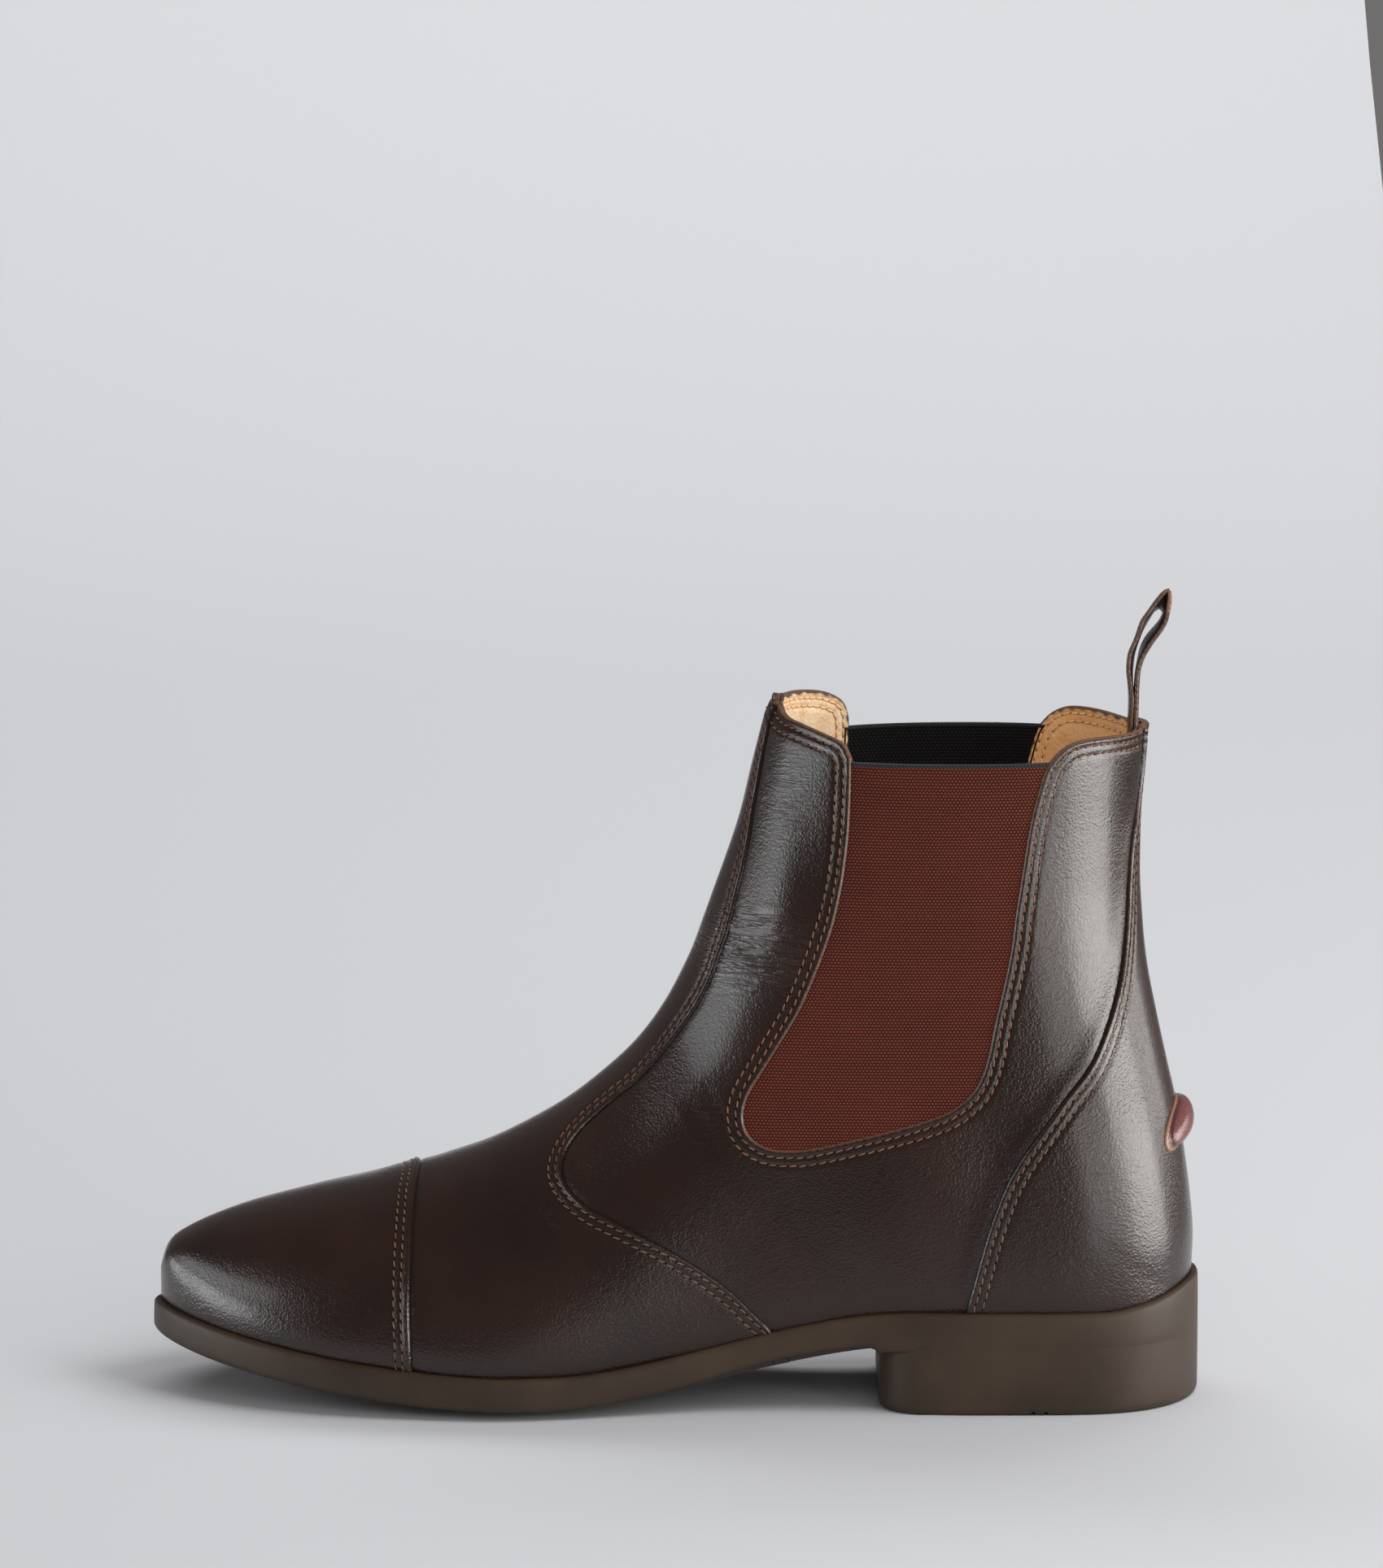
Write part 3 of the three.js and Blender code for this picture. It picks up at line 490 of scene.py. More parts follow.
LINES = {
    "edge": {side: FRONT_TAB[side] + GORE + REAR_TAB for side in (-1, 1)},
    "vamp": {-1: VAMP, 1: VAMP},
    "stay": {-1: BACKSTAY, 1: BACKSTAY},
    "cap": {-1: TOE_CAP, 1: TOE_CAP},
}
TOWARDS = {"edge": 1, "vamp": 1, "stay": -1, "cap": 1}  # the side of each line that counts as positive
seams = {}
for name, sides in LINES.items():
    seams[name] = []
    for side, shares in sides.items():
        seams[name].append(seam_on_form(spline(shares, .4), side))


def distance(points, name):
    """Signed distance in mm from points on the form to a seam, positive on the piece that lies over."""
    flat = np.concatenate([p[0] for p in seams[name]])
    solid = np.concatenate([p[1] for p in seams[name]])
    part = np.concatenate([np.full(len(p[0]), k) for k, p in enumerate(seams[name])])
    tree = KDTree(len(solid))
    for k, p in enumerate(solid):
        tree.insert(p, k)
    tree.balance()
    near = np.array([tree.find(p)[1] for p in points])
    best = np.full(len(points), 1e9)
    sign = np.ones(len(points))
    flat_points = points[:, [0, 2]]
    for step in (-1, 0):
        a = np.clip(near + step, 0, len(solid) - 2)
        a = np.where(part[a] != part[a + 1], np.clip(a - 1, 0, None), a)
        b = a + 1
        way = solid[b] - solid[a]
        t = np.clip(((points - solid[a]) * way).sum(1) / (way**2).sum(1), 0, 1)
        gap = np.linalg.norm(points - solid[a] - way * t[:, None], axis=1)
        turn = flat[b] - flat[a]
        off = flat_points - flat[a]
        cross = turn[:, 0] * off[:, 1] - turn[:, 1] * off[:, 0]
        better = gap < best
        best = np.where(better, gap, best)
        sign = np.where(better, np.sign(cross), sign)
    return best * sign * TOWARDS[name]


def crease_depth(points):
    """How far the skin sinks at its creases."""
    out = np.zeros(len(points))
    flat = points[:, [0, 2]]
    lateral = np.sign(points[:, 1] - swing(points[:, 0]))
    for shares, depth, width, side in CREASES:
        line = spline(shares, 1.0)
        span = np.linalg.norm(flat[:, None] - line[None], axis=2)
        k = span.argmin(1)
        taper = np.sin(np.pi * np.clip(k / (len(line) - 1), .02, .98)) ** .7
        here = 1 if side == 0 else (lateral == side)
        gap = span.min(1) / width
        out += here * taper * depth * (np.exp(-gap**2) - .45 * np.exp(-((gap - 1.9) / .9) ** 2))
    return out


def wrinkling(points):
    """How strongly fine wrinkles show at each point."""
    out = np.zeros(len(points))
    for (x, z), reach_x, reach_z, strength in WRINKLED:
        away = ((points[:, 0] - x * LENGTH) / reach_x) ** 2 + ((points[:, 2] - z * HEIGHT) / reach_z) ** 2
        out = np.maximum(out, strength * np.exp(-away))
    return out


def soft_swell(points):
    """Slow rises and hollows of leather that has been lasted by hand."""
    x, z = points[:, 0], points[:, 2]
    flat_shaft = .9 * smooth((z / HEIGHT - .58) / .2) * np.exp(-((x / LENGTH - .403) / .024) ** 2)
    return flat_shaft + (.16 * np.sin(x / 17 + 1.3) * np.sin(z / 13 + .7) + .10 * np.sin(x / 9.3 + z / 11.7)
            + .07 * np.sin(x / 5.1 - z / 7.7 + points[:, 1] / 9))


ROWS, AROUND = ((300, 112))
points, normals, tris = raw_form(ROWS, AROUND)
fields = {name: distance(points, name) for name in LINES}
beyond_tab = (points[:, 0] < .12 * LENGTH) & (points[:, 2] > .975 * HEIGHT)
fields["edge"] = np.where(beyond_tab, -9, fields["edge"])
settled = smooth(fields["edge"] / 5)  # nothing swells or creases at the cut edge itself
fields["swell"] = soft_swell(points) * settled
fields["crease"] = crease_depth(points) * settled
fields["wrinkle"] = wrinkling(points)
fields["side"] = points[:, 1] - swing(points[:, 0])
fields["x"], fields["z"] = points[:, 0].copy(), points[:, 2].copy()
form = Skin(points, normals, tris, fields)

# into the frame: the pull loop stands on the form's middle line, so its box says how far the frame is moved
loop_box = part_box("pull_loop")
shift_y = -(loop_box[0][1] + loop_box[1][1]) / 2


def to_row(p):
    """The form's millimetres to the frame's metres, toe towards -X."""
    p = np.asarray(p, float)
    return np.stack([(LENGTH / 2 - p[..., 0]) / 1000, p[..., 1] / 1000 - shift_y, p[..., 2] / 1000], -1)


def mesh_object(name, points, tris, materials=(), attributes=None, which=None, smooth_angle=None):
    """A mesh from points in the form's millimetres. The frame is mirrored, so faces are turned."""
    data = bpy.data.meshes.new(name)
    data.vertices.add(len(points))
    data.vertices.foreach_set("co", to_row(points).astype(np.float32).ravel())
    tris = np.asarray(tris)[:, ::-1]
    data.loops.add(tris.size)
    data.loops.foreach_set("vertex_index", tris.astype(np.int32).ravel())
    data.polygons.add(len(tris))
    data.polygons.foreach_set("loop_start", np.arange(0, tris.size, 3, dtype=np.int32))
    data.polygons.foreach_set("use_smooth", np.ones(len(tris), bool))
    if which is not None:
        data.polygons.foreach_set("material_index", np.asarray(which, np.int32))
    for key, values in (attributes or {}).items():
        data.attributes.new(key, "FLOAT", "POINT").data.foreach_set("value", values.astype(np.float32))
    data.update(calc_edges=True)
    data.validate()
    o = bpy.data.objects.new(name, data)
    bpy.context.scene.collection.objects.link(o)
    for m in materials:
        data.materials.append(m)
    if smooth_angle:
        data.set_sharp_from_angle(angle=math.radians(smooth_angle))
    return o


# materials
def linear(code):
    """sRGB hex to the linear colour the shader takes."""
    out = []
    for k in (0, 2, 4):
        c = int(code.lstrip("#")[k:k + 2], 16) / 255
        out.append(c / 12.92 if c <= .04045 else ((c + .055) / 1.055) ** 2.4)
    return (*out, 1)


def node(tree, kind, settings=None, **inputs):
    """Adds a node; inputs are values or output sockets, named by socket name or number."""
    n = tree.nodes.new(kind)
    for key, value in (settings or {}).items():
        setattr(n, key, value)
    for key, value in inputs.items():
        by_number = key[0] == "i" and key[1:].isdigit()
        socket = n.inputs[int(key[1:]) if by_number else key.replace("_", " ")]
        if isinstance(value, bpy.types.NodeSocket):
            tree.links.new(value, socket)
        else:
            socket.default_value = value
    return n


def finish(name, **shader):
    """A material with a Principled shader; constants go on its own sockets."""
    m = bpy.data.materials.new(name)
    m.use_nodes = True
    tree = m.node_tree
    principled = tree.nodes["Principled BSDF"]
    for key, value in shader.items():
        principled.inputs[key.replace("_", " ")].default_value = value
    return m, tree, principled


def ramp(tree, value, stops):
    """A colour that changes with a value, from stop to stop."""
    n = node(tree, "ShaderNodeValToRGB", i0=value)
    while len(n.color_ramp.elements) < len(stops):
        n.color_ramp.elements.new(.5)
    for element, (place, colour) in zip(n.color_ramp.elements, stops):
        element.position = place
        element.color = colour if len(colour) == 4 else (*colour, 1)
    return n.outputs[0]


def mixed(tree, factor, a, b, blend="MIX"):
    """Two colours mixed by a factor."""
    n = node(tree, "ShaderNodeMix", {"data_type": "RGBA", "blend_type": blend}, i0=factor, i6=a, i7=b)
    return n.outputs[2]


def maths(tree, how, a, b=0.0):
    """One sum, product or other operation on two values."""
    return node(tree, "ShaderNodeMath", {"operation": how}, i0=a, i1=b).outputs[0]


def attribute(tree, name):
    """A value that the mesh carries at each point."""
    return node(tree, "ShaderNodeAttribute", {"attribute_name": name}).outputs["Fac"]


def leather(name, colour, deep, shine, grain, worn, shade="#0c0908"):
    """Full-grain calf, drum dyed and polished: fine pebbled grain, semi-gloss, paler where an edge is worn.

    The real grain is about .3 mm across. It is drawn about twice as coarse, so that the render shows it.
    """
    m, tree, shader = finish(name, IOR=1.45, Specular_IOR_Level=.5, Coat_Weight=.3, Coat_Roughness=.18)
    at = node(tree, "ShaderNodeTexCoord").outputs["Object"]
    cells = node(tree, "ShaderNodeTexVoronoi", {"feature": "SMOOTH_F1"},
                 Vector=at, Scale=1000 / grain, Smoothness=.6)
    warp = node(tree, "ShaderNodeTexNoise", Vector=at, Scale=1000 / (grain * 2.6), Detail=3.0, Roughness=.6)
    cloud = node(tree, "ShaderNodeTexNoise", Vector=at, Scale=1000 / 38, Detail=3.0, Roughness=.55)
    fine = node(tree, "ShaderNodeTexNoise", Vector=at, Scale=1000 / (grain * .55), Detail=2.0)
    tone = ramp(tree, cloud.outputs[0], [(.32, linear(deep)), (.68, linear(colour))])
    pits = ramp(tree, cells.outputs[0], [(.0, (1, 1, 1)), (.75, (.72, .72, .72))])
    tone = mixed(tree, .6, tone, mixed(tree, 1.0, tone, pits, "MULTIPLY"))
    rim = attribute(tree, "raw")
    tone = mixed(tree, rim, tone, linear(worn))
    # painted shade: the dark attribute darkens the leather along stitch rows, under overlapping edges, in the
    # spur rest's corner and inside the pull loop
    dark = attribute(tree, "dark")
    tone = mixed(tree, dark, tone, linear(shade))
    tree.links.new(tone, shader.inputs["Base Color"])
    rough = maths(tree, "MULTIPLY_ADD", cloud.outputs[0], .16)
    rough.node.inputs[2].default_value = shine - .08
    rough = maths(tree, "ADD", rough, maths(tree, "MULTIPLY", rim, .3))
    tree.links.new(rough, shader.inputs["Roughness"])
    pebbles = maths(tree, "MULTIPLY", cells.outputs[0], .75)
    height = maths(tree, "ADD", pebbles, maths(tree, "MULTIPLY", warp.outputs[0], .9))
    height = maths(tree, "ADD", height, maths(tree, "MULTIPLY", fine.outputs[0], .25))
    # wrinkles lie level, 9 mm long and 1.1 mm apart
    stretched = node(tree, "ShaderNodeMapping", Vector=at, Scale=(1000 / 9, 1000 / 9, 1000 / 1.1))
    folds = node(tree, "ShaderNodeTexNoise",
                 Vector=stretched.outputs[0], Scale=1.0, Detail=2.0, Distortion=.6)
    ridges = maths(tree, "ABSOLUTE", maths(tree, "SUBTRACT", folds.outputs[0], .5))
    wrinkle = attribute(tree, "wrinkle")
    wrinkled = maths(tree, "MULTIPLY", ridges, wrinkle)
    height = maths(tree, "ADD", height, maths(tree, "MULTIPLY", wrinkled, 17.0))
    bump = node(tree, "ShaderNodeBump", Strength=.55, Distance=.00022, Height=height)
    tree.links.new(bump.outputs[0], shader.inputs["Normal"])
    return m


def lining_leather():
    """Undyed pigskin, buffed on its inside: matt tan with a loose nap and darker pores.

    Pores are about .5 mm apart. They are drawn 1.1 mm apart, so that the render shows them.
    """
    m, tree, shader = finish("pigskin_lining", Specular_IOR_Level=.3, Sheen_Weight=.12, Sheen_Roughness=.5)
    at = node(tree, "ShaderNodeTexCoord").outputs["Object"]
    cloud = node(tree, "ShaderNodeTexNoise", Vector=at, Scale=1000 / 9, Detail=5.0, Roughness=.65)
    pores = node(tree, "ShaderNodeTexVoronoi", {"feature": "F1"}, Vector=at, Scale=1000 / 1.1)
    tone = ramp(tree, cloud.outputs[0], [(.3, linear("#e8bd8d")), (.7, linear("#fbe9c9"))])
    rear = attribute(tree, "rear")
    tone = mixed(tree, rear, tone, mixed(tree, 1.0, tone, (1, .74, .5, 1), "MULTIPLY"))
    pitted = ramp(tree, pores.outputs[0], [(.0, (.62, .55, .5)), (.35, (1, 1, 1))])
    tone = mixed(tree, .5, tone, mixed(tree, 1.0, tone, pitted, "MULTIPLY"))
    # painted shade along the collar's rows of stitches
    dark = attribute(tree, "dark")
    tone = mixed(tree, maths(tree, "MULTIPLY", dark, .6), tone, linear("#9a6a40"))
    rim = attribute(tree, "rim")
    tone = mixed(tree, rim, tone, linear("#4d382d"))
    tree.links.new(tone, shader.inputs["Base Color"])
    shader.inputs["Roughness"].default_value = .78
    height = maths(tree, "ADD", maths(tree, "MULTIPLY", cloud.outputs[0], 1.2), pores.outputs[0])
    bump = node(tree, "ShaderNodeBump", Strength=.4, Distance=.0003, Height=height)
    tree.links.new(bump.outputs[0], shader.inputs["Normal"])
    return m


def elastic_web(name, ground, lit, pitch):
    """Woven rubber-cored elastic: rows of raised thread loops, staggered, with a painted highlight on their
    crowns and painted shade between them.
    """
    m, tree, shader = finish(name, Specular_IOR_Level=.15, Roughness=.85,
                             Sheen_Weight=.08, Sheen_Roughness=.5)
    at = node(tree, "ShaderNodeTexCoord").outputs["Object"]
    split = node(tree, "ShaderNodeSeparateXYZ", Vector=at)
    across = maths(tree, "MULTIPLY", split.outputs["X"], 1000 / pitch)
    up = maths(tree, "MULTIPLY", split.outputs["Z"], 1000 / (pitch * .86))
    row = maths(tree, "FLOOR", up)
    shifted = maths(tree, "ADD", across, maths(tree, "MULTIPLY", maths(tree, "MODULO", row, 2.0), .5))

    def wave(v):
        return maths(tree, "ABSOLUTE", maths(tree, "SINE", maths(tree, "MULTIPLY", v, math.pi)))

    loops = maths(tree, "MULTIPLY", wave(shifted), wave(up))
    drift = node(tree, "ShaderNodeTexNoise", Vector=at, Scale=1000 / 14, Detail=2.0)
    uneven = maths(tree, "ADD", maths(tree, "MULTIPLY", drift.outputs[0], .5), .75)
    level = maths(tree, "MULTIPLY", loops, uneven)
    # painted light and shade: the loops' crowns take the lit colour, the hollows between them are painted
    # darker
    tone = ramp(tree, level, [(.15, linear(ground)), (.72, linear(lit))])
    dark = attribute(tree, "dark")
    tone = mixed(tree, dark, tone, linear("#26262a"))
    tree.links.new(tone, shader.inputs["Base Color"])
    bump = node(tree, "ShaderNodeBump", Strength=.9, Distance=.0003, Height=loops)
    tree.links.new(bump.outputs[0], shader.inputs["Normal"])
    return m


def sole_rubber():
    """Moulded nitrile rubber, olive brown: satin, with faint flow cloudiness and a fine mould texture."""
    m, tree, shader = finish("moulded_rubber", IOR=1.45, Specular_IOR_Level=.4)
    at = node(tree, "ShaderNodeTexCoord").outputs["Object"]
    cloud = node(tree, "ShaderNodeTexNoise", Vector=at, Scale=1000 / 30, Detail=4.0, Roughness=.6)
    grit = node(tree, "ShaderNodeTexNoise", Vector=at, Scale=1000 / .55, Detail=2.0)
    tone = ramp(tree, cloud.outputs[0], [(.3, linear("#2e221a")), (.7, linear("#3e3125"))])
    tree.links.new(tone, shader.inputs["Base Color"])
    rough = maths(tree, "MULTIPLY_ADD", cloud.outputs[0], .14)
    rough.node.inputs[2].default_value = .42
    tree.links.new(rough, shader.inputs["Roughness"])
    bump = node(tree, "ShaderNodeBump", Strength=.18, Distance=.0001, Height=grit.outputs[0])
    tree.links.new(bump.outputs[0], shader.inputs["Normal"])
    return m


def plain_thread(name, colour, deep):
    """Bonded polyester sewing thread, twisted and waxed: satin, uneven in tone from stitch to stitch."""
    m, tree, shader = finish(name, Roughness=.6, Specular_IOR_Level=.4)
    at = node(tree, "ShaderNodeTexCoord").outputs["Object"]
    vary = node(tree, "ShaderNodeTexNoise", Vector=at, Scale=1000 / 3, Detail=1.0)
    tone = mixed(tree, vary.outputs[0], linear(deep), linear(colour))
    tree.links.new(tone, shader.inputs["Base Color"])
    return m


calf = leather("dyed_calf_leather", "#28150f", "#1b0e09", .26, .6, "#5f4333")
rest_calf = leather("padded_calf_leather", "#6a3f3c", "#55302d", .27, .5, "#a98767")
loop_calf = leather("loop_leather", "#3a2e27", "#1f1713", .55, .6, "#8d6853", "#2a130c")
pigskin = lining_leather()
web_outer = elastic_web("burgundy_elastic", "#1f0a05", "#6c2e20", .92)
web_inner = elastic_web("black_elastic", "#060607", "#1b1b1d", 1.0)
rubber = sole_rubber()
edge_thread = plain_thread("sewing_thread", "#9a6546", "#4a2c1e")
dark_thread = plain_thread("dark_sewing_thread", "#8c664f", "#3b251b")
tan_thread = plain_thread("lining_thread", "#f2cc9c", "#d19c66")
# pierced leather in shadow: matt and dark, with next to no shine
hole = finish("needle_hole", Base_Color=linear("#080605"), Roughness=.9, Specular_IOR_Level=.1)[0]
prick = finish("lining_needle_hole", Base_Color=linear("#56331f"), Roughness=.9, Specular_IOR_Level=.1)[0]


# leather panels: each seam's rows of stitches, in mm from the cut edge
ROWS_OF_STITCHES = {"edge": (2.0, 4.2), "vamp": (1.7, 3.7), "stay": (2.0, 4.1), "cap": (2.4, 4.4)}


def rolled(d, drop, radius):
    """Height of a leather edge that rounds down to its cut."""
    t = np.clip(d / radius, 0, 1)
    return -drop * (1 - np.sqrt(1 - (1 - t) ** 2))


def sewn(d, rows, depth=.2, width=.62):
    """The skin is pulled down along a row of stitches."""
    return -depth * sum(np.exp(-((d - c) / width) ** 2) for c in rows)


def tucked(d, rise):
    """The skin rises where it runs under its neighbour, with a narrow trough along the neighbour's edge."""
    swelling = rise * np.exp(-(np.minimum(d, 0) / 3) ** 2) * (d > -12)
    trough = .22 * np.exp(-(np.minimum(d + .1, 0) / .6) ** 2) * (d > -6)
    return swelling - trough


def dressed(skin, edges, level, drop, radius=.9, bulge=0.0):
    """Cuts rows of points along the edges and gives the heights over the form."""
    for name in edges:
        first, second = ROWS_OF_STITCHES[name]
        across_rows = (first - .7, first, first + .65, second - .65, second, second + .7, second + 1.6)
        for c in (.12, .3, .55, .9) + across_rows:
            skin.split(name, c)
    f = skin.fields
    height = np.full(len(skin.points), float(level))
    for name in edges:
        down = drop if name != "edge" else WALL / 2 + level
        height += rolled(f[name], down, radius) + sewn(f[name], ROWS_OF_STITCHES[name])
        height += bulge * np.exp(-np.maximum(f[name], 0) / 1.6) * np.clip(f[name] / .6, 0, 1)
    return height


def panel(name, skin, height, dark, raw=None):
    """A piece of the upper's outside leather at the given heights over the form."""
    f = skin.fields
    raw = np.zeros(len(skin.points)) if raw is None else raw
    o = mesh_object(name, skin.points + skin.normals * height[:, None], skin.tris, [calf],
                    {"dark": dark, "raw": raw, "wrinkle": f["wrinkle"]})
    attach(o, "root")
    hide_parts("upper")
    return o


def seam_shadow(f, name):
    """Painted shade along a seam's rows of stitches, where the skin is pulled down."""
    return np.clip(sum(.2 * np.exp(-((f[name] - c) / .45) ** 2) for c in ROWS_OF_STITCHES[name]), 0, 1)


def shade_under_edge(d):
    """Painted shade in the corner under the neighbour's cut edge."""
    return .75 * np.exp(-(np.minimum(d, 0) / .5) ** 2)


def raw_edge(f):
    """The cut edge at the collar and round the elastic, where the hide's undyed middle shows a little."""
    ragged = .12 * np.sin(f["x"] * 3.1) * np.sin(f["z"] * 2.3)
    return np.clip(1 - (f["edge"] + ragged - .15) / .5, 0, 1)


def quarter(name, side):
    """One side of the shaft, from the vamp's seam to the backstay's, with the elastic's cut-out."""
    skin = form.copy().keep("edge", 0).keep("vamp", 1.5, -1).keep("stay", 1.5, -1)
    skin.keep_where((skin.fields["side"] * side) > -.5)
    height = dressed(skin, ["edge"], 0, WALL / 2)
    f = skin.fields
    height += tucked(f["vamp"], .1) + tucked(f["stay"], .45) + f["swell"] - f["crease"]
    dark = seam_shadow(f, "edge") + shade_under_edge(f["vamp"]) + shade_under_edge(f["stay"])
    return panel(name, skin, height, np.clip(dark, 0, 1), raw_edge(f))


def vamp():
    """The front, with the stay that runs up the shin."""
    skin = form.copy().keep("edge", 0).keep("vamp", 0).keep("cap", 1.5, -1)
    height = dressed(skin, ["edge", "vamp"], VAMP_RISE, VAMP_RISE + .35, bulge=.4)
    f = skin.fields
    height += tucked(f["cap"], .45) + f["swell"] - f["crease"]
    dark = seam_shadow(f, "edge") + seam_shadow(f, "vamp") + shade_under_edge(f["cap"])
    return panel("vamp", skin, height, np.clip(dark, 0, 1), raw_edge(f))


def toe_cap():
    """The cap over the vamp's toe."""
    skin = form.copy().keep("cap", 0)
    height = dressed(skin, ["cap"], CAP_RISE, OVERLAY_RISE + .3, bulge=.25) + .6 * skin.fields["swell"]
    o = panel("toe_cap_leather", skin, height, seam_shadow(skin.fields, "cap"))
    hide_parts("toe_cap")
    return o


def backstay():
    """The piece round the heel, narrowing up the back seam."""
    skin = form.copy().keep("edge", 0).keep("stay", 0)
    height = dressed(skin, ["edge", "stay"], OVERLAY_RISE, OVERLAY_RISE + .35) + .6 * skin.fields["swell"]
    f = skin.fields
    dark = np.clip(seam_shadow(f, "edge") + seam_shadow(f, "stay"), 0, 1)
    o = panel("backstay_leather", skin, height, dark, raw_edge(f))
    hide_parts("backstay")
    return o


def whole_lining():
    """The lining: the same form from inside, its rim meeting the outside leather's."""
    skin = form.copy().keep("edge", 0)
    for c in (.12, .3, .55, .9, 1.4, 2.0, 2.7, 3.5, 4.2, 4.9):
        skin.split("edge", c)
    f = skin.fields
    pulled = sewn(f["edge"], ROWS_OF_STITCHES["edge"], .32, .75)
    height = -WALL - rolled(f["edge"], WALL / 2, .9) - pulled
    ragged = .35 * np.sin(f["x"] * 2.1) * np.sin(f["z"] * 1.7)
    o = mesh_object("lining", skin.points + skin.normals * height[:, None], skin.tris[:, ::-1], [pigskin],
                    {"dark": seam_shadow(f, "edge"), "rim": np.clip((1.05 - f["edge"] + ragged) / .45, 0, 1),
                     "rear": smooth((.3 - f["x"] / LENGTH) / .1)})
    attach(o, "root")
    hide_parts("upper")
    return o


panels = {"quarter_outer": quarter("quarter_outer", -1), "quarter_inner": quarter("quarter_inner", 1)}
panels.update(vamp=vamp(), toe_cap=toe_cap(), backstay=backstay())
lining = whole_lining()

# elastic gores
WEB_TOP = .9275 * HEIGHT
WEB_OUTER = -.7   # the web's two faces, in mm over the form
WEB_INNER = -2.1
TAPE_WIDE = .95   # the dark tape along its top


def gore(name, side, stands_for):
    """An elastic web behind the cut-out, its two faces closed all round, its top bound with tape."""
    skin = form.copy()
    skin.fields["below"] = WEB_TOP - skin.fields["z"]
    skin.keep("edge", 1.6, -1).keep("below", 0)
    skin.keep_where(((skin.fields["side"] * side) > 4) & (skin.fields["z"] > 60))
    for c in (.1, .25, .5, .8, TAPE_WIDE, 1.1, 1.4):
        skin.split("below", c)
    below = skin.fields["below"]
    fall = .7 * (1 - np.sqrt(1 - (1 - np.clip(below / .7, 0, 1)) ** 2))
    bind = .25 * np.clip(1 - ((below - .5) / .5) ** 4, 0, 1)
    outer = skin.points + skin.normals * (WEB_OUTER - fall + bind)[:, None]
    inner = skin.points + skin.normals * (WEB_INNER + fall - bind)[:, None]
    n = len(outer)
    directed = np.r_[skin.tris[:, [0, 1]], skin.tris[:, [1, 2]], skin.tris[:, [2, 0]]]
    _, first, count = np.unique(np.sort(directed, axis=1), axis=0, return_index=True, return_counts=True)
    a, b = directed[first[count == 1]].T
    tris = np.r_[skin.tris, skin.tris[:, ::-1] + n, np.c_[a, a + n, b + n], np.c_[a, b + n, b]]
    which = np.zeros(len(tris), int)
    which[len(skin.tris):2 * len(skin.tris)] = 1
    tape = np.tile(np.clip(1 - (below - TAPE_WIDE) / .15, 0, 1), 2)
    o = mesh_object(name, np.r_[outer, inner], tris, [web_outer, web_inner], {"dark": tape}, which)
    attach(o, "root")
    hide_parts(stands_for)


gore("gore_outer_web", -1, "gore_lateral")
gore("gore_inner_web", 1, "gore_medial")

# sole: loops round it, each with its inset in mm, what it is measured from, and its rise in mm
# (for the middle, a share of the way from the lower edge's top to the upper edge's foot)
LOWER_EDGE, UPPER_EDGE = 1.6, 1.7
LEVELS = [
    (1.5, "under", 0.0), (1.05, "under", .08), (.62, "under", .3), (.3, "under", .62), (.1, "under", 1.05),
    (0, "under", LOWER_EDGE), (0, "middle", .35), (.05, "middle", .7), (.12, "top", -UPPER_EDGE),
    (.22, "top", -1.15), (.45, "top", -.62), (.8, "top", -.24), (1.2, "top", -.06), (1.7, "top", 0),
    (4.4, "top", -.05)]


def footprint(xs):
    """The form's outline seen from above, out along the outer side and back along the inner, and its way."""
    outer = np.c_[xs, swing(xs) - deep_half(xs, feather(xs), -1)]
    inner = np.c_[xs, swing(xs) + deep_half(xs, feather(xs), 1)]
    loop = np.r_[outer, inner[-2:0:-1]]
    way = np.roll(loop, -1, 0) - np.roll(loop, 1, 0)
    way /= np.linalg.norm(way, axis=1)[:, None]
    return loop, way


def sole_loop(xs, inset):
    """The sole's outline, moved in by inset."""
    loop, way = footprint(xs)
    out = cover(loop[:, 0]) + LEDGE - inset
    return np.c_[loop[:, 0] + way[:, 1] * out, loop[:, 1] - way[:, 0] * out]


def strip_loops(loops):
    """Faces between closed loops of equal length."""
    n = len(loops[0])
    tris = []
    for r in range(len(loops) - 1):
        a = r * n + np.arange(n)
        b = r * n + (np.arange(n) + 1) % n
        tris += [np.c_[a, b, b + n], np.c_[a, b + n, a + n]]
    return np.concatenate(tris)


def outward(points, tris):
    """Turns a closed shell's triangles so that they face out."""
    a, b, c = points[tris[:, 0]], points[tris[:, 1]], points[tris[:, 2]]
    return tris if (a * np.cross(b, c)).sum() > 0 else tris[:, ::-1]


first_x, last_x = float(back(SEAT)), TIP
xs = first_x + (last_x - first_x) * (1 - np.cos(np.linspace(0, np.pi, 181))) / 2
corner_start = BREAST - BREAST_CORNER
free = (np.abs(xs - BREAST) > .5) & (np.abs(xs - corner_start) > .5)
groove_xs = [g + GROOVE_HALF * e for g in GROOVES for e in (-1.3, -1, 1, 1.3)]
xs = np.sort(np.r_[xs[free], BREAST, corner_start, BREAST + BREAST_RUN, BREAST + 3, groove_xs])
arch = SEAT - (FORE - CROWN) - BREAST_DROP  # height of the sole's underside where the heel begins
loops = []
for inset, base, rise in LEVELS:
    loop = sole_loop(xs, inset)
    x = loop[:, 0]
    under = np.where(x < BREAST, arch + HEEL_TUCK, sole_under(x) + crown(x))
    top = sole_top(x)
    between = under + LOWER_EDGE + (top - UPPER_EDGE - under - LOWER_EDGE) * rise
    loops.append(np.c_[loop, {"under": under + rise, "top": top + rise, "middle": between}[base]])
